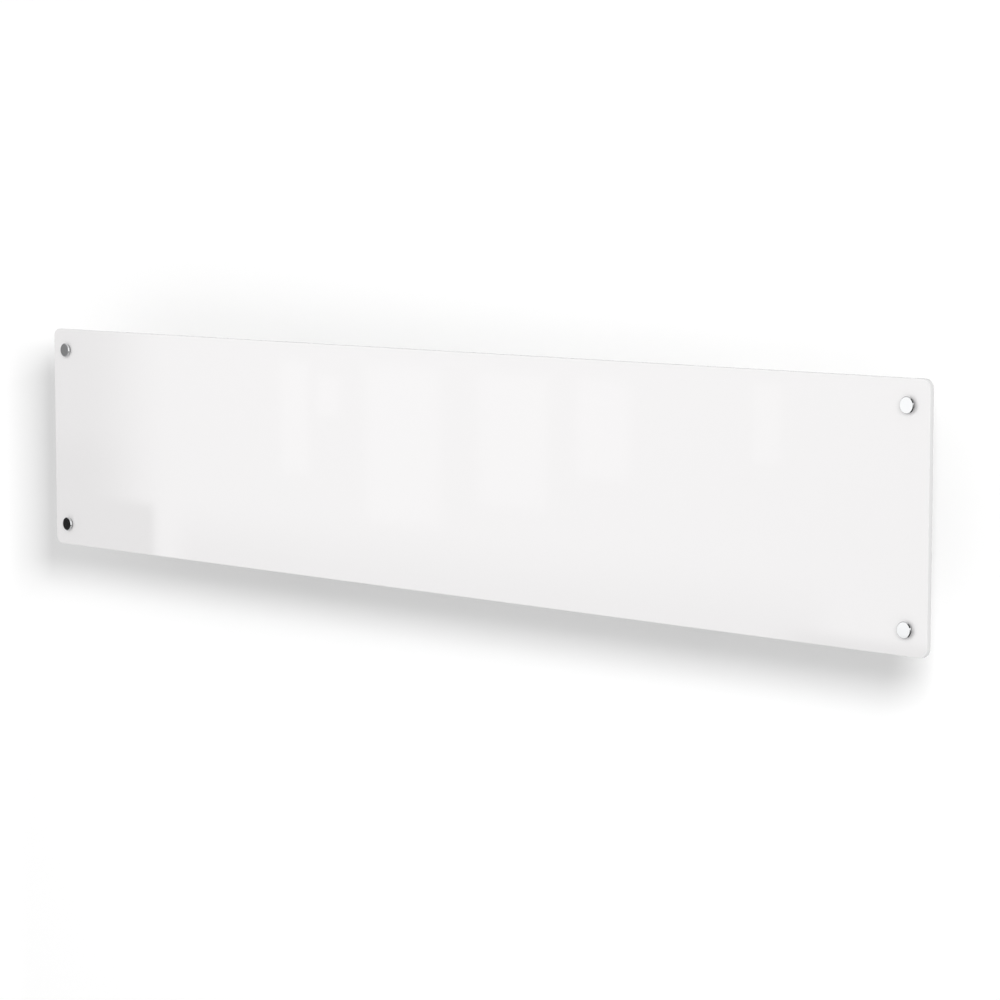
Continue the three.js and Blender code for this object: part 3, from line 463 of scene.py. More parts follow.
# The fall and the lift are shares of the head's height, and the top starts just above its middle, in metres
screwShape = {"domePower": 2.4, "domeFall": -0.62, "recessLift": 0.6, "topStart": 1e-5}


def screwTree():
    # A row of domed screws with a cross recess, each facing the way it is told
    part = screwShape
    tree, given, result = newGrowth("crossScrews", {
        "Head Radius": "Float", "Head Height": "Float", "Recess Length": "Float", "Recess Width": "Float",
        **lineInputs, "Facing": "Vector", "Twist": "Float",
    })
    height = given["Head Height"]
    head = addNode(tree, "GeometryNodeMeshCylinder", {
        "Vertices": 20, "Side Segments": 2, "Fill Segments": 4,
        "Radius": given["Head Radius"], "Depth": height,
    })
    # The top falls away from its middle, as a power of the distance
    place = addNode(tree, "GeometryNodeInputPosition").outputs["Position"]
    split = addNode(tree, "ShaderNodeSeparateXYZ", {"Vector": place}).outputs
    across = vectorOf(tree, X=split["X"], Y=split["Y"])
    reach = addNode(tree, "ShaderNodeVectorMath", {0: across}, operation="LENGTH")
    share = addMath(tree, "DIVIDE", reach.outputs["Value"], given["Head Radius"])
    drop = addMath(tree, "MULTIPLY", addMath(tree, "POWER", share, part["domePower"]), height)
    above = {0: split["Z"], 1: part["topStart"]}
    onTop = addNode(tree, "FunctionNodeCompare", above, data_type="FLOAT", operation="GREATER_THAN")
    dome = addNode(tree, "GeometryNodeSetPosition", {
        "Geometry": head.outputs["Mesh"], "Selection": onTop.outputs["Result"],
        "Offset": vectorOf(tree, Z=addMath(tree, "MULTIPLY", drop, part["domeFall"])),
    })
    # The cross is two bars sunk into the dome
    recess = addNode(tree, "GeometryNodeMeshBoolean", operation="DIFFERENCE", solver="EXACT")
    tree.links.new(dome.outputs["Geometry"], recess.inputs["Mesh 1"])
    lift = vectorOf(tree, Z=addMath(tree, "MULTIPLY", height, part["recessLift"]))
    for first, second in (("Recess Length", "Recess Width"), ("Recess Width", "Recess Length")):
        size = vectorOf(tree, X=given[first], Y=given[second], Z=height)
        sunkBar = addNode(tree, "GeometryNodeMeshCube", {"Size": size})
        tree.links.new(shifted(tree, sunkBar.outputs["Mesh"], Translation=lift), recess.inputs["Mesh 2"])
    seat = vectorOf(tree, Z=addMath(tree, "MULTIPLY", height, 0.5))
    twist = vectorOf(tree, Z=given["Twist"])
    screw = shifted(tree, recess.outputs["Mesh"], Translation=seat, Rotation=twist)
    screw = shifted(tree, screw, Rotation=given["Facing"])
    return finishTree(tree, given, result, putAt(tree, alongLine(tree, given), screw))


def slottedSheetTree():
    # A flat sheet with a grid of round-ended slots punched through it
    tree, given, result = newGrowth("slottedSheet", {
        "Length": "Float", "Depth": "Float", "Thickness": "Float", "Columns": "Int", "Rows": "Int",
        "Slot Length": "Float", "Slot Width": "Float", "Column Pitch": "Float", "Row Pitch": "Float",
        "Slots Middle": "Vector", "Place": "Vector",
    })
    edge = addNode(tree, "GeometryNodeCurvePrimitiveQuadrilateral", {
        "Width": given["Length"], "Height": given["Depth"],
    })
    slot = addNode(tree, "GeometryNodeCurvePrimitiveQuadrilateral", {
        "Width": given["Slot Length"], "Height": given["Slot Width"],
    })
    # The ends are a little less than half round, since the corners' arcs may not meet
    radius = addMath(tree, "MULTIPLY", given["Slot Width"], 0.499)
    rounded = addNode(tree, "GeometryNodeFilletCurve", {
        "Curve": slot.outputs["Curve"], "Count": 4, "Radius": radius,
    }, mode="POLY")
    sizeX, sizeY = [
        addMath(tree, "MULTIPLY", addMath(tree, "SUBTRACT", given[count], 1.0), given[pitch])
        for count, pitch in (("Columns", "Column Pitch"), ("Rows", "Row Pitch"))
    ]
    grid = addNode(tree, "GeometryNodeMeshGrid", {
        "Size X": sizeX, "Size Y": sizeY, "Vertices X": given["Columns"], "Vertices Y": given["Rows"],
    })
    spots = shifted(tree, grid.outputs["Mesh"], Translation=given["Slots Middle"])
    slots = putAt(tree, spots, rounded.outputs["Curve"])
    slots = addNode(tree, "GeometryNodeRealizeInstances", {"Geometry": slots})
    outline = addNode(tree, "GeometryNodeJoinGeometry", {"Geometry": edge.outputs["Curve"]})
    tree.links.new(slots.outputs["Geometry"], outline.inputs["Geometry"])
    fill = addNode(tree, "GeometryNodeFillCurve", {"Curve": outline.outputs["Geometry"]}).outputs["Mesh"]
    above = addNode(tree, "GeometryNodeExtrudeMesh", {
        "Mesh": fill, "Offset Scale": given["Thickness"], "Individual": False,
    })
    below = addNode(tree, "GeometryNodeFlipFaces", {"Mesh": fill})
    sheet = addNode(tree, "GeometryNodeJoinGeometry", {"Geometry": above.outputs["Mesh"]})
    tree.links.new(below.outputs["Mesh"], sheet.inputs["Geometry"])
    weld = addNode(tree, "GeometryNodeMergeByDistance", {
        "Geometry": sheet.outputs["Geometry"], "Distance": 1e-6,
    })
    sheet = shifted(tree, weld.outputs["Geometry"], Translation=given["Place"])
    return finishTree(tree, given, result, sheet)


trees = {
    "corners": cornerSetTree(),
    "row": rowTree(),
    "screws": screwTree(),
    "slottedSheet": slottedSheetTree(),
}


def grow(name, tree, values, seed=None, sharpAngle=38.0):
    # Runs a tree with its named inputs, on a seed mesh or on nothing
    piece = addObject(name, seed or bpy.data.meshes.new(name + "Seed"))
    modifier = piece.modifiers.new(tree.name, "NODES")
    modifier.node_group = tree
    for item in tree.interface.items_tree:
        if item.in_out == "INPUT" and item.name in values:
            modifier[item.identifier] = values[item.name]
    return bake(piece, sharpAngle)


def merge(name, pieces):
    # Several pieces of one body as one mesh
    work = bmesh.new()
    finish = pieces[0].data.materials[0]
    for piece in pieces:
        work.from_mesh(piece.data)
        bpy.data.objects.remove(piece)
    for face in work.faces:
        face.material_index = 0
    mesh = toMesh(work, name)
    mesh.materials.append(finish)
    return addObject(name, mesh)


print("trees made:", len(trees))


glassSheet = {
    "cornerRadius": 9.0, "cornerSteps": 14, "arris": 0.5, "arrisSteps": 3, "holeSteps": 32, "flat": 0.99,
}


def buildGlass():
    part = glassSheet
    radius = part["cornerRadius"]
    right, top = heater["glassHalfWidth"] - radius, heater["glassHalfHeight"] - radius
    outline = []
    for x, z, turn in ((right, -top, -90), (right, top, 0), (-right, top, 90), (-right, -top, 180)):
        outline += arc(x, z, radius, turn, turn + 90, part["cornerSteps"])
    x, z = heater["fixingX"], heater["fixingZ"]
    holes = [
        arc(side * x, height * z, heater["holeRadius"], 0, 360, part["holeSteps"])[:-1]
        for side in (-1, 1) for height in (-1, 1)
    ]
    front, back = heater["glassFront"], heater["glassBack"]
    place = moved(0, (front + back) / 2, 0) @ axes["room"]
    rim = part["arris"], part["arrisSteps"]
    mesh = filledMesh("glassSheet", [outline] + holes, (back - front) / 2, place, *rim)
    # Front, edge and back have a finish each, and a sharp line between them
    work = workOn(mesh)
    for face in work.faces:
        face.smooth = True
        face.material_index = 0 if face.normal.y < -part["flat"] else 2 if face.normal.y > part["flat"] else 1
    for edge in work.edges:
        edge.smooth = len({face.material_index for face in edge.link_faces}) == 1
    putBack(work, mesh)
    for finish in ("enamelledGlass", "groundGlassEdge", "glassBackCoat"):
        mesh.materials.append(materials[finish])
    handOver(addObject("glassSheet", mesh), "heater", "white_glass", "glass_panel")


buildGlass()
print("glass made")


cornerNames = ("top_left", "top_right", "bottom_left", "bottom_right")
# Turned pieces, one at each corner of the glass
# A profile is radius and height from the glass front towards the room, in millimetres
fixings = {
    "capCovers": {
        "finish": "polishedChrome", "slot": "chrome", "nodes": "glass_cap",
        "sides": 64, "closed": False, "sharpAngle": 15.0,
        # The foot draws in towards the glass, and the edge is cut at about 45 degrees
        "profile": [
            (0.0, 2.8), (3.3, 2.8), (3.3, 0.6), (6.7, 0.6), (6.9, 0.8), (7.97, 2.92),
            (8.0, 3.05), (8.0, 3.17), (7.22, 3.98), (7.16, 4.0), (4.0, 4.0), (0.0, 4.0),
        ],
    },
    "holeGrommets": {
        "finish": "softRubber", "slot": "black_rubber", "nodes": "glass_grommet",
        "sides": 40, "closed": True, "sharpAngle": 38.0,
        "profile": [
            (3.3, -6.0), (6.25, -6.0), (6.5, -5.75), (6.5, -5.0), (5.3, -5.0), (5.3, 0.0), (6.5, 0.0),
            (6.5, 0.35), (6.25, 0.6), (3.3, 0.6),
        ],
    },
    "spacerBarrels": {
        "finish": "zincPlate", "slot": "zinc_steel", "nodes": "glass_spacer",
        "sides": 40, "closed": True, "sharpAngle": 38.0,
        "profile": [(3.3, -18.0), (6.1, -18.0), (6.5, -17.6), (6.5, -6.4), (6.1, -6.0), (3.3, -6.0)],
    },
}


def buildFixing(name, part):
    seed = turnedMesh(name + "Seed", part["profile"], part["sides"], "room", part["closed"])
    seed.transform(moved(0, heater["glassFront"], 0))
    piece = grow(name, trees["corners"], {
        "Half Width": heater["fixingX"] * mm,
        "Half Height": heater["fixingZ"] * mm,
        "Finish": materials[part["finish"]],
    }, seed, part["sharpAngle"])
    handOver(piece, "heater", part["slot"], *[f"{part['nodes']}_{corner}" for corner in cornerNames])


for name, part in fixings.items():
    buildFixing(name, part)
print("corner fixings made")


grille = {
    "thickness": 1.0, "slotLength": 60.0, "slotWidth": 5.0, "columnPitch": 72.0, "rowPitch": 8.0,
    "backEdge": -25.3, "leftEnd": -559.0, "topRight": 459.0, "bottomRight": 559.0, "topColumns": 14,
    "bottomColumns": 15, "rows": 3,
}


def buildGrille(name, nodeName, rightEnd, columns, bottom):
    part = grille
    front, back, left = heater["casingFront"], part["backEdge"], part["leftEnd"]
    middleX, middleY = (left + rightEnd) / 2, (front + back) / 2
    piece = grow(name, trees["slottedSheet"], {
        "Length": (rightEnd - left) * mm,
        "Depth": (back - front) * mm,
        "Thickness": part["thickness"] * mm,
        "Slot Length": part["slotLength"] * mm,
        "Slot Width": part["slotWidth"] * mm,
        "Columns": columns,
        "Rows": part["rows"],
        "Column Pitch": part["columnPitch"] * mm,
        "Row Pitch": part["rowPitch"] * mm,
        "Slots Middle": (0.0, (heater["casingMiddle"] - middleY) * mm, 0.0),
        "Place": (middleX * mm, middleY * mm, bottom * mm),
        "Finish": materials["powderCoat"],
    })
    handOver(piece, "heater", "white_paint", nodeName)


topSheet, bottomSheet = heater["casingTop"] - grille["thickness"], -heater["casingTop"]
buildGrille("topGrille", "top_grille", grille["topRight"], grille["topColumns"], topSheet)
buildGrille("bottomGrille", "bottom_grille", grille["bottomRight"], grille["bottomColumns"], bottomSheet)

softPieces = [
    # Node, finish, slot, body, edge width in millimetres, segments
    ("casing_front", "powderCoat", "white_paint", "heater", 0.45, 3),
    ("casing_back", "powderCoat", "white_paint", "heater", 0.3, 2),
    ("end_plate_left", "powderCoat", "white_paint", "heater", 0.35, 2),
    ("end_plate_right", "powderCoat", "white_paint", "heater", 0.35, 2),
    ("glass_rail_left", "powderCoat", "white_paint", "heater", 0.4, 2),
    ("glass_rail_right", "powderCoat", "white_paint", "heater", 0.4, 2),
    ("wall_bracket", "zincPlate", "zinc_steel", "bracket", 0.35, 2),
    ("lock_lever_left", "blackMoulding", "black_plastic", "left_lock", 0.5, 3),
    ("lock_lever_right", "blackMoulding", "black_plastic", "right_lock", 0.5, 3),
    ("control_fascia", "whiteMoulding", "white_plastic", "heater", 0.3, 2),
    ("display_window", "darkWindow", "dark_window", "heater", 0.25, 2),
    ("switch_frame", "blackMoulding", "black_plastic", "heater", 0.35, 2),
    ("power_rocker", "whiteMoulding", "white_plastic", "power_switch", 0.3, 2),
    ("cord_gland", "blackMoulding", "black_plastic", "heater", 0.3, 2),
    ("terminal_block", "whiteMoulding", "white_plastic", "heater", 0.5, 2),
    ("element_holder_left", "firedCeramic", "ceramic", "heater", 0.6, 2),
    ("element_holder_right", "firedCeramic", "ceramic", "heater", 0.6, 2),
    ("control_tray", "greyMoulding", "grey_plastic", "heater", 0.4, 2),
    ("power_relay", "blackMoulding", "black_plastic", "heater", 0.5, 2),
    ("thermal_cutout", "blackMoulding", "black_plastic", "heater", 0.25, 2),
]
for nodeName, finish, slotName, body, width, segments in softPieces:
    handOver(softCopy(nodeName, finish, width, segments), body, slotName, nodeName)
print("casing, bracket and controls softened:", len(softPieces))


quarter = math.pi / 2
screws = {
    # Radius, height, recess length, recess width
    "panHead": (3.0, 1.5, 3.4, 0.8),
    "smallHead": (2.2, 0.9, 2.6, 0.6),
    "facings": {
        "up": (0.0, 0.0, 0.0), "down": (2 * quarter, 0.0, 0.0), "room": (quarter, 0.0, 0.0),
        "wall": (-quarter, 0.0, 0.0), "left": (0.0, -quarter, 0.0), "right": (0.0, quarter, 0.0),
    },
    "rows": [
        # Head, count, first place, step, facing, twist
        ("panHead", 2, (-560, -45, -70), (0, 0, 140), "left", 0.4),
        ("panHead", 2, (560, -45, -85), (0, 0, 165), "right", 1.1),
        ("smallHead", 6, (-525, -62, 95), (188, 0, 0), "up", 0.3),
        ("smallHead", 6, (-525, -29.5, 95), (188, 0, 0), "up", 0.9),
        ("smallHead", 7, (-525, -62, -95), (175, 0, 0), "down", 0.5),
        ("smallHead", 7, (-525, -29.5, -95), (175, 0, 0), "down", 1.2),
        ("panHead", 4, (-545, -68, -75), (0, 0, 50), "room", 0.2),
        ("panHead", 4, (545, -68, -75), (0, 0, 50), "room", 0.8),
        ("smallHead", 2, (-524, -24, -44), (0, 0, 28), "wall", 0.6),
        ("smallHead", 2, (434, -24, -44), (0, 0, 28), "wall", 0.1),
    ],
}


def screwRow(head, count, first, step, facing, twist):
    radius, height, recessLength, recessWidth = screws[head]
    return grow("screws", trees["screws"], {
        "Head Radius": radius * mm,
        "Head Height": height * mm,
        "Recess Length": recessLength * mm,
        "Recess Width": recessWidth * mm,
        "Count": count,
        "First": [value * mm for value in first],
        "Step": [value * mm for value in step],
        "Facing": screws["facings"][facing],
        "Twist": twist,
        "Finish": materials["zincPlate"],
    })


handOver(merge("casingScrews", [screwRow(*row) for row in screws["rows"]]), "heater", "zinc_steel")
print("screws made")


element = {
    "left": -518.7, "right": 428.7, "middleZ": -30.0, "rodPitch": 18.0, "rodRadius": 4.3, "core": 6.3,
    "reach": 14.0, "height": 40.0, "inset": 0.6, "sink": 0.2, "finThickness": 3.0, "finLength": 2.6,
    "finPitch": 4.2, "rodSteps": 24, "coreSteps": 10,
}


def finSeed():
    # Four wings round the core, which the row repeats along the element
    part = element
    core, thickness, reach, height = part["core"], part["finThickness"], part["reach"], part["height"]
    top = part["rodPitch"] / 2 + core
    wing = [
        (core - part["inset"], top - thickness), (reach, height - thickness), (reach, height),
        (part["inset"], top - part["sink"]), (part["inset"], top - thickness),
    ]
    work = bmesh.new()
    for flipY, flipZ in ((1, 1), (1, -1), (-1, 1), (-1, -1)):
        rings = []
        for x in (0.0, part["finLength"]):
            spots = [(x, heater["casingMiddle"] + y * flipY, part["middleZ"] + z * flipZ) for y, z in wing]
            rings.append([work.verts.new([value * mm for value in spot]) for spot in spots])
        work.faces.new(rings[0])
        work.faces.new(list(reversed(rings[1])))
        for spot in range(len(wing)):
            after = (spot + 1) % len(wing)
            work.faces.new((rings[0][spot], rings[0][after], rings[1][after], rings[1][spot]))
    bmesh.ops.recalc_face_normals(work, faces=work.faces)
    return toMesh(work, "finSeed")


def buildElement():
    part = element
    length, halfPitch = part["right"] - part["left"], part["rodPitch"] / 2
    fins = grow("elementFinRow", trees["row"], {
        "Count": int((length - part["finLength"]) / part["finPitch"]) + 1,
        "First": (part["left"] * mm, 0.0, 0.0),
        "Step": (part["finPitch"] * mm, 0.0, 0.0),
        "Finish": materials["rawAluminium"],
    }, finSeed())
    # The extruded core round both rods: a rounded bar with two bores
    outer = (
        arc(0, halfPitch, part["core"], 0, 180, part["coreSteps"])
        + arc(0, -halfPitch, part["core"], 180, 360, part["coreSteps"])
    )
    bores = [arc(0, z, part["rodRadius"], 0, 360, part["rodSteps"])[:-1] for z in (-halfPitch, halfPitch)]
    place = moved((part["left"] + part["right"]) / 2, heater["casingMiddle"], part["middleZ"]) @ axes["x"]
    core = filledMesh("elementCore", [outer] + bores, length / 2, place)
    core.materials.append(materials["rawAluminium"])
    settle(core)
    body = merge("elementFins", [addObject("elementCoreBar", core), fins])
    handOver(body, "heater", "aluminium", "element_fins")


buildElement()
print("element made")


buttons = {
    "radius": 4.5, "flange": 5.7, "stem": 2.0, "stemLength": 9.0, "flangeThickness": 1.2, "gap": 0.3,
    "top": 3.4, "round": 0.9, "dish": 0.25, "sheetTop": 94.0, "first": 509.3, "pitch": 14.0, "sides": 40,
    "roundSteps": 5, "dishReach": 0.55, "dishShare": 0.7, "sharpAngle": 50.0,
    "names": ("minus", "plus", "mode"), "signHeight": 0.02, "signSides": 32,
    # Each bar of a sign by its place from the middle, then its size; the last sign is a turned ring
    "minusSign": [((0.0, 0.0), (3.2, 0.6, 0.24))],
    "plusSign": [
        ((0.0, 0.0), (3.2, 0.6, 0.24)), ((0.0, 0.95), (0.6, 1.3, 0.24)), ((0.0, -0.95), (0.6, 1.3, 0.24)),
    ],
    "modeSign": [(1.15, -0.12), (1.7, -0.12), (1.7, 0.12), (1.15, 0.12)],
}


def buildButtons():
    part = buttons
    top, gap, soft, dish = part["top"], part["gap"], part["round"], part["dish"]
    low = -gap - part["flangeThickness"]
    profile = [
        (0.0, -part["stemLength"]), (part["stem"], -part["stemLength"]), (part["stem"], low),
        (part["flange"], low), (part["flange"], -gap), (part["radius"], -gap),
        *arc(part["radius"] - soft, top - soft, soft, 0, 90, part["roundSteps"]),
        (part["radius"] * part["dishReach"], top - dish * part["dishShare"]), (0.0, top - dish),
    ]
    for place, name in enumerate(part["names"]):
        mesh = turnedMesh(f"{name}ButtonSeed", profile, part["sides"], "z")
        x = part["first"] + place * part["pitch"]
        mesh.transform(moved(x, heater["casingMiddle"], part["sheetTop"]))
        mesh.materials.append(materials["greyMoulding"])
        settle(mesh, part["sharpAngle"])
        handOver(addObject(f"{name}Button", mesh), f"{name}_button", "grey_plastic", f"button_{name}")
        buildSign(name, x)


def addBar(work, centre, size):
    box = bmesh.ops.create_cube(work, size=1.0)["verts"]
    bmesh.ops.scale(work, vec=[value * mm for value in size], verts=box)
    bmesh.ops.translate(work, vec=[value * mm for value in centre], verts=box)


def handOverSign(name, work, finish, body):
    bmesh.ops.recalc_face_normals(work, faces=work.faces)
    mesh = toMesh(work, name)
    mesh.materials.append(materials[finish])
    settle(mesh)
    handOver(addObject(name, mesh), body, "white_plastic")


def buildSign(name, x):
    # A raised sign on the button: a bar, a cross, or a ring
    part = buttons
    y, z = heater["casingMiddle"], part["sheetTop"] + part["top"] - part["dish"] + part["signHeight"]
    work = bmesh.new()
    if name == "mode":
        ring = turnedMesh("ringMark", part["modeSign"], part["signSides"], "z", True)
        ring.transform(moved(x, y, z))
        work.from_mesh(ring)
    else:
        for (besideX, besideY), size in part[name + "Sign"]:
            addBar(work, (x + besideX, y + besideY, z), size)
    handOverSign(f"{name}Mark", work, "printedMark", f"{name}_button")


buildButtons()
print("buttons made")


# The signs for on and off are raised on the two faces of the rocker, at rest with its upper face pressed
rockerSigns = {
    "barPlace": (560.42, -45.0, 3.92), "bar": (0.14, 0.55, 2.7),
    "ringPlace": (561.56, -45.0, -2.52), "ring": [(0.95, -0.07), (1.45, -0.07), (1.45, 0.07), (0.95, 0.07)],
    "ringSides": 32, "tilt": 20.0,
}


def buildRockerSigns():
    part = rockerSigns
    work = bmesh.new()
    addBar(work, part["barPlace"], part["bar"])
    ring = turnedMesh("offSign", part["ring"], part["ringSides"], "x", True)
    ring.transform(Matrix.Rotation(math.radians(-part["tilt"]), 4, "Y"))
    ring.transform(moved(*part["ringPlace"]))
    work.from_mesh(ring)
    handOverSign("rockerSigns", work, "blackMoulding", "power_switch")


buildRockerSigns()
print("rocker signs made")


buffers = {
    "radius": 8.0, "tip": 6.0, "taper": 2.0, "height": 21.7, "footEdge": 0.4, "tipEdge": 1.2, "sides": 40,
    "tipFrom": 8, "tipSteps": 5, "dimple": [(2.0, 0.0), (1.6, -1.5), (0.0, -1.5)],
    "x": 302.0, "z": -57.0, "seat": -2.0,
}


def buildBuffers():
    part = buffers
    radius, soft = part["radius"], part["tipEdge"]
    profile = [
        (0.0, 0.0), (radius - part["footEdge"], 0.0), (radius, part["footEdge"]), (radius, part["taper"]),
        *arc(part["tip"] - soft, part["height"] - soft, soft, part["tipFrom"], 90, part["tipSteps"]),
        *[(reach, part["height"] + depth) for reach, depth in part["dimple"]],
    ]
    for side, name in ((-1, "left"), (1, "right")):
        mesh = turnedMesh(f"wallBuffer_{name}", profile, part["sides"], "room")
        mesh.transform(moved(side * part["x"], part["seat"], part["z"]))
        mesh.materials.append(materials["softRubber"])
        settle(mesh)
        handOver(addObject(f"wallBuffer_{name}", mesh), "bracket", "black_rubber", f"wall_buffer_{name}")


buildBuffers()
print("buffers made")


# CAD pieces that keep their shape, by the start of their names
keptFinishes = {
    "cap_stud": "zincPlate",
    "element_rod": "heatedSteel",
    "element_link": "zincPlate",
    "heat_reflector": "rawAluminium",
    "circuit_board": "boardLacquer",
    "room_sensor": "blackMoulding",
    "lead": "leadSleeve",
}
for nodeName, node in nodes.items():
    for prefix, finish in keptFinishes.items():
        if nodeName.startswith(prefix):
            for materialSlot in node.material_slots:
                materialSlot.material = materials[finish]
print("CAD pieces finished")


# Paint and glow each run evenly from one tone to another between two places across. The wall's paint is
# painted shade: it is darker towards the lamp so the wall looks evenly lit. Its glow is lower at the left,
# which darkens the object's shadow at that end.
stageLook = {
    "wallShift": 0.0006, "wallHalfWidth": 7.0, "wallTop": 5.0, "floorHeight": -1.05, "floorReach": 7.0,
    "paintPlaces": (-0.7, 0.8), "wallPaint": (0.957, 0.776), "floorPaint": (0.93, 0.93),
    "glowPlaces": (-0.7, 0.35), "wallGlow": (0.055, 0.145), "floorGlow": (0.48, 0.48),
    "risePlaces": (0.82, 2.2), "farGlow": 0.95, "bounceGlow": 0.72,
}


def emptyMaterial(name):
    material = bpy.data.materials.new(name)
    material.use_nodes = True
    material.node_tree.nodes.clear()
    return material, material.node_tree


def mixed(tree, factor, first, second):
    return addNode(tree, "ShaderNodeMixShader", {0: factor, 1: first, 2: second}).outputs[0]


def emission(tree, strength):
    return addNode(tree, "ShaderNodeEmission", {"Strength": strength}).outputs[0]


def stageMaterial(name, glow, paint):
    # Shows from its front only, throws no shadow, and glows to the camera, most beyond the lamps' reach
    # The paint is a little darker nearer the lamp, so that the wall looks evenly lit
    part = stageLook
    material, tree = emptyMaterial(name)
    path = addNode(tree, "ShaderNodeLightPath").outputs
    backfacing = addNode(tree, "ShaderNodeNewGeometry").outputs["Backfacing"]
    place = addNode(tree, "ShaderNodeTexCoord").outputs["Object"]
    across = addNode(tree, "ShaderNodeSeparateXYZ", {"Vector": place}).outputs["X"]
    shade = mapped(tree, across, *part["paintPlaces"], *paint)
    matt = addNode(tree, "ShaderNodeBsdfDiffuse", {"Color": shade}).outputs[0]
    near = mapped(tree, across, *part["glowPlaces"], *glow)
    away = addMath(tree, "ABSOLUTE", across)
    light = emission(tree, mapped(tree, away, *part["risePlaces"], near, part["farGlow"]))
    seen = addNode(tree, "ShaderNodeAddShader", {0: matt, 1: light}).outputs[0]
    bounced = addMath(tree, "MAXIMUM", path["Is Diffuse Ray"], path["Is Glossy Ray"])
    byRay = mixed(tree, bounced, seen, emission(tree, part["bounceGlow"]))
    hidden = addMath(tree, "MAXIMUM", backfacing, path["Is Shadow Ray"])
    clear = addNode(tree, "ShaderNodeBsdfTransparent").outputs[0]
    addNode(tree, "ShaderNodeOutputMaterial", {"Surface": mixed(tree, hidden, byRay, clear)})
    return material


def flatPanel(name, corners, material):
    mesh = bpy.data.meshes.new(name)
    mesh.from_pydata(corners, [], [range(len(corners))])
    mesh.materials.append(material)
    panel = addObject(name, mesh)
    return panel


def upright(left, right, low, high, y):
    return [(left, y, low), (right, y, low), (right, y, high), (left, y, high)]


def level(left, right, start, end, z):
    return [(left, start, z), (right, start, z), (right, end, z), (left, end, z)]


def buildStage():
    part = stageLook
    side, low, back = part["wallHalfWidth"], part["floorHeight"], part["wallShift"]
    wall = stageMaterial("wallPaint", part["wallGlow"], part["wallPaint"])
    floor = stageMaterial("floorPaint", part["floorGlow"], part["floorPaint"])
    return [
        flatPanel("stageWall", upright(-side, side, low, part["wallTop"], back), wall),
        flatPanel("stageFloor", level(-side, side, -part["floorReach"], back, low), floor),
    ]


# What the polished surfaces see: a bright screen between dark flags, with lighter patches on it
reflections = {
    "screenY": -3.086, "patchAhead": 0.02, "patchGlow": 1.93, "patchSoft": (0.14, 0.1),
    "cards": [
        # Name, left, right, low, high, metres in front of the screen, brightness, softness across and up
        ("darkFlagLeft", -9.5, -3.9, -2.6, 2.6, -0.03, 0.03, 0.01, 0.01),
        ("greyFlagLeft", -9.5, -3.9, -0.5, 2.6, -0.02, 0.34, 0.01, 0.05),
        ("darkFlagRight", 4.6, 9.0, -2.6, 2.6, -0.03, 0.03, 0.01, 0.01),
        ("brightScreen", -4.47, 4.9, -2.4, 2.4, 0.0, 1.57, 0.04, 0.1),
        ("lowFlagLeft", -9.5, -4.14, -2.6, -0.545, 0.01, 0.03, 0.01, 0.02),
        ("lowShade", -4.13, -1.85, -1.3, -0.52, 0.012, 0.85, 0.06, 0.25),
        ("lowFlagRight", -2.1, -1.2, -1.3, -0.655, 0.014, 0.03, 0.2, 0.06),
        ("ceilingFlag", 1.6, 7.0, 1.7, 9.0, 0.03, 0.03, 0.01, 0.02),
    ],
    # Left, right, near the wall, near the screen, height, brightness
    "floorFlag": (0.6, 6.0, -0.3, -4.2, -1.0, 0.03), "floorSoft": (0.01, 0.01),
    # Left, right, low, high
    "patches": [
        (-3.66, -3.54, -0.46, -0.15), (-3.52, -3.43, -0.3, -0.19), (-3.36, -3.06, -0.56, -0.14),
        (-2.97, -2.71, -0.49, -0.15), (-2.65, -2.46, -0.4, -0.15), (-2.12, -2.03, -0.33, -0.14),
    ],
}


def cardMaterial(name, strength, softAcross, softUp):
    # A glow that fades out towards the card's edges, on its own UV map
    material, tree = emptyMaterial(name)
    uv = addNode(tree, "ShaderNodeTexCoord").outputs["UV"]
    split = addNode(tree, "ShaderNodeSeparateXYZ", {"Vector": uv}).outputs
    masks = []
    for axis, soft in (("X", softAcross), ("Y", softUp)):
        offMiddle = addMath(tree, "ABSOLUTE", addMath(tree, "SUBTRACT", split[axis], 0.5))
        masks.append(mapped(tree, offMiddle, 0.5, 0.5 - soft, interpolation_type="SMOOTHSTEP"))
    clear = addNode(tree, "ShaderNodeBsdfTransparent").outputs[0]
    shown = mixed(tree, addMath(tree, "MULTIPLY", *masks), clear, emission(tree, strength))
    addNode(tree, "ShaderNodeOutputMaterial", {"Surface": shown})
    return material


def reflectionCard(name, corners, material):
    # Seen in polished surfaces only
    card = flatPanel(name, corners, material)
    layer = card.data.uv_layers.new(name="card")
    for corner, place in zip(layer.data, ((0, 0), (1, 0), (1, 1), (0, 1))):
        corner.uv = place
    card.visible_camera = False
    card.visible_diffuse = False
    card.visible_shadow = False
    card.visible_transmission = False


def buildReflections():
    part = reflections
    for name, left, right, low, high, ahead, strength, softAcross, softUp in part["cards"]:
        finish = cardMaterial(name, strength, softAcross, softUp)
        reflectionCard(name, upright(left, right, low, high, part["screenY"] + ahead), finish)
    glow = cardMaterial("lightPatch", part["patchGlow"], *part["patchSoft"])
    for number, sides in enumerate(part["patches"]):
        reflectionCard(f"lightPatch{number}", upright(*sides, part["screenY"] + part["patchAhead"]), glow)
    *sides, strength = part["floorFlag"]
    reflectionCard("floorFlag", level(*sides), cardMaterial("floorFlag", strength, *part["floorSoft"]))


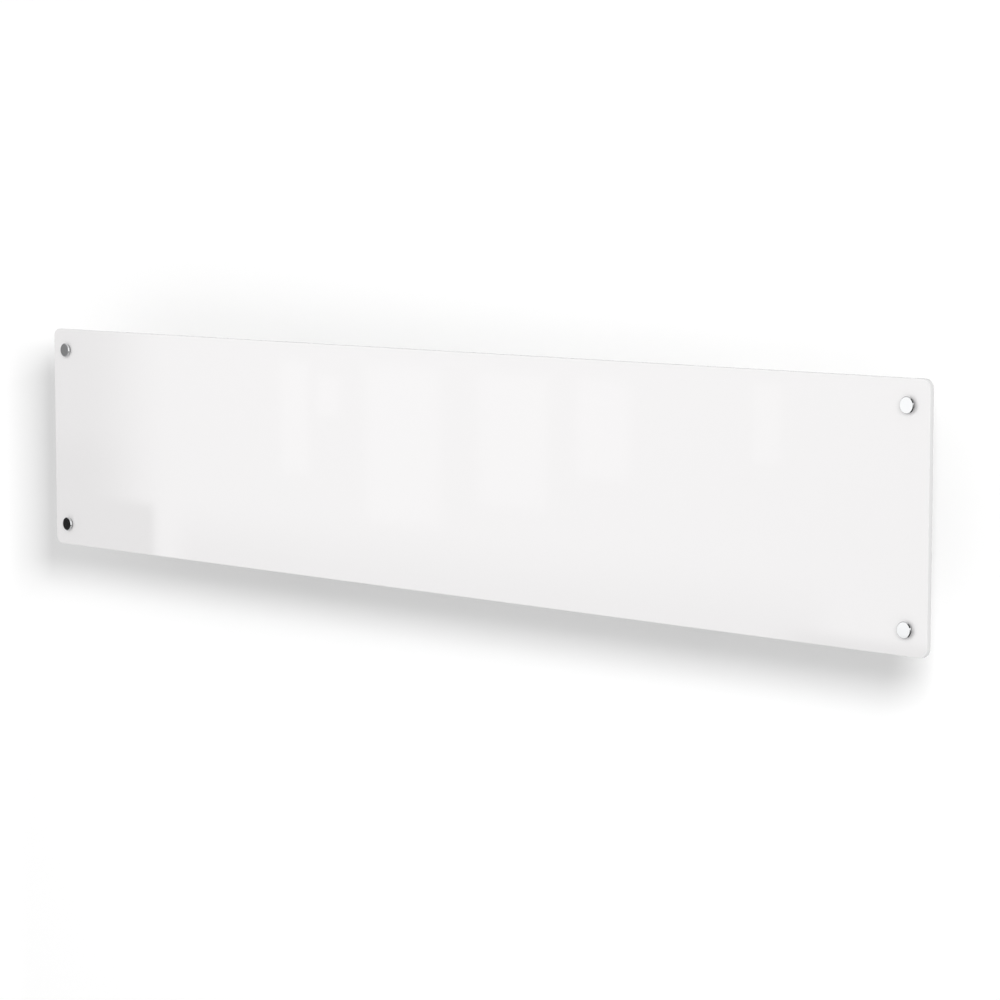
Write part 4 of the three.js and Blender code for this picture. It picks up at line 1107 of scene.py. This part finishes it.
lamps = {
    "wallPlace": (1.91, -1.42, 0.77), "wallSize": 0.68, "wallPower": 50.0, "reach": 2.5,
    "softPlace": (0.764, -0.568, 0.306), "softAngle": 24.0, "softPower": 1.06,
    "frontPlace": (-0.1, -2.1, 0.85), "frontSize": 1.2, "frontPower": 9.0,
    # The room to matt surfaces, to polished ones, and to the camera, where 1 is white
    "room": (0.6, 0.9, 1.0),
}


def addLamp(name, kind, place, power, panels, lightsStage):
    # A lamp that points at the heater, and lights either the stage or all but the stage
    light = bpy.data.lights.new(name, kind)
    light.energy = power
    lamp = bpy.data.objects.new(name, light)
    lamp.location = place
    lamp.rotation_euler = (-lamp.location).to_track_quat("-Z", "Y").to_euler()
    lamp.visible_glossy = False
    bpy.context.scene.collection.objects.link(lamp)
    chosen = bpy.data.collections.new(name + "Receivers")
    for panel in panels:
        chosen.objects.link(panel)
    for entry in chosen.collection_objects:
        entry.light_linking.link_state = "INCLUDE" if lightsStage else "EXCLUDE"
    lamp.light_linking.receiver_collection = chosen
    return light


def buildLamps(panels):
    part = lamps
    # The wall's shadow spreads as from a near lamp, of even strength over the whole wall
    wallLight = addLamp("wallLamp", "AREA", part["wallPlace"], part["wallPower"], panels, True)
    wallLight.size = part["wallSize"]
    wallLight.use_nodes = True
    lightTree = wallLight.node_tree
    falloff = addNode(lightTree, "ShaderNodeLightFalloff", {"Strength": 1.0 / part["reach"] ** 2})
    lightTree.links.new(falloff.outputs["Constant"], lightTree.nodes["Emission"].inputs["Strength"])
    softLight = addLamp("softLamp", "SUN", part["softPlace"], part["softPower"], panels, False)
    softLight.angle = math.radians(part["softAngle"])
    frontLight = addLamp("frontLamp", "AREA", part["frontPlace"], part["frontPower"], panels, False)
    frontLight.size = part["frontSize"]


def buildRoom():
    world = bpy.data.worlds.new("studioRoom")
    bpy.context.scene.world = world
    world.use_nodes = True
    tree = world.node_tree
    tree.nodes.clear()
    path = addNode(tree, "ShaderNodeLightPath").outputs
    colour = (1.0, 1.0, 1.0, 1.0)
    matt, polished, white = [
        addNode(tree, "ShaderNodeBackground", {"Color": colour, "Strength": strength}).outputs[0]
        for strength in lamps["room"]
    ]
    direct = addMath(tree, "MAXIMUM", path["Is Camera Ray"], path["Is Transmission Ray"])
    indirect = mixed(tree, path["Is Glossy Ray"], matt, polished)
    addNode(tree, "ShaderNodeOutputWorld", {"Surface": mixed(tree, direct, indirect, white)})


stagePanels = buildStage()
buildReflections()
buildLamps(stagePanels)
buildRoom()
print("stage, reflections and lamps made")


photoView = {
    "place": (2.3745, -2.3653, 0.3122), "target": (0.0967, -0.086, -0.0216), "lens": 115.96, "sensor": 36.0,
}


def buildCamera():
    camera = bpy.data.cameras.new("photoCamera")
    camera.lens = photoView["lens"]
    camera.sensor_width = photoView["sensor"]
    viewer = bpy.data.objects.new("photoCamera", camera)
    viewer.location = photoView["place"]
    aim = Vector(photoView["target"]) - viewer.location
    viewer.rotation_euler = aim.to_track_quat("-Z", "Y").to_euler()
    bpy.context.scene.collection.objects.link(viewer)
    bpy.context.scene.camera = viewer


buildCamera()
bpy.context.scene.view_settings.view_transform = "Standard"
print("camera set")
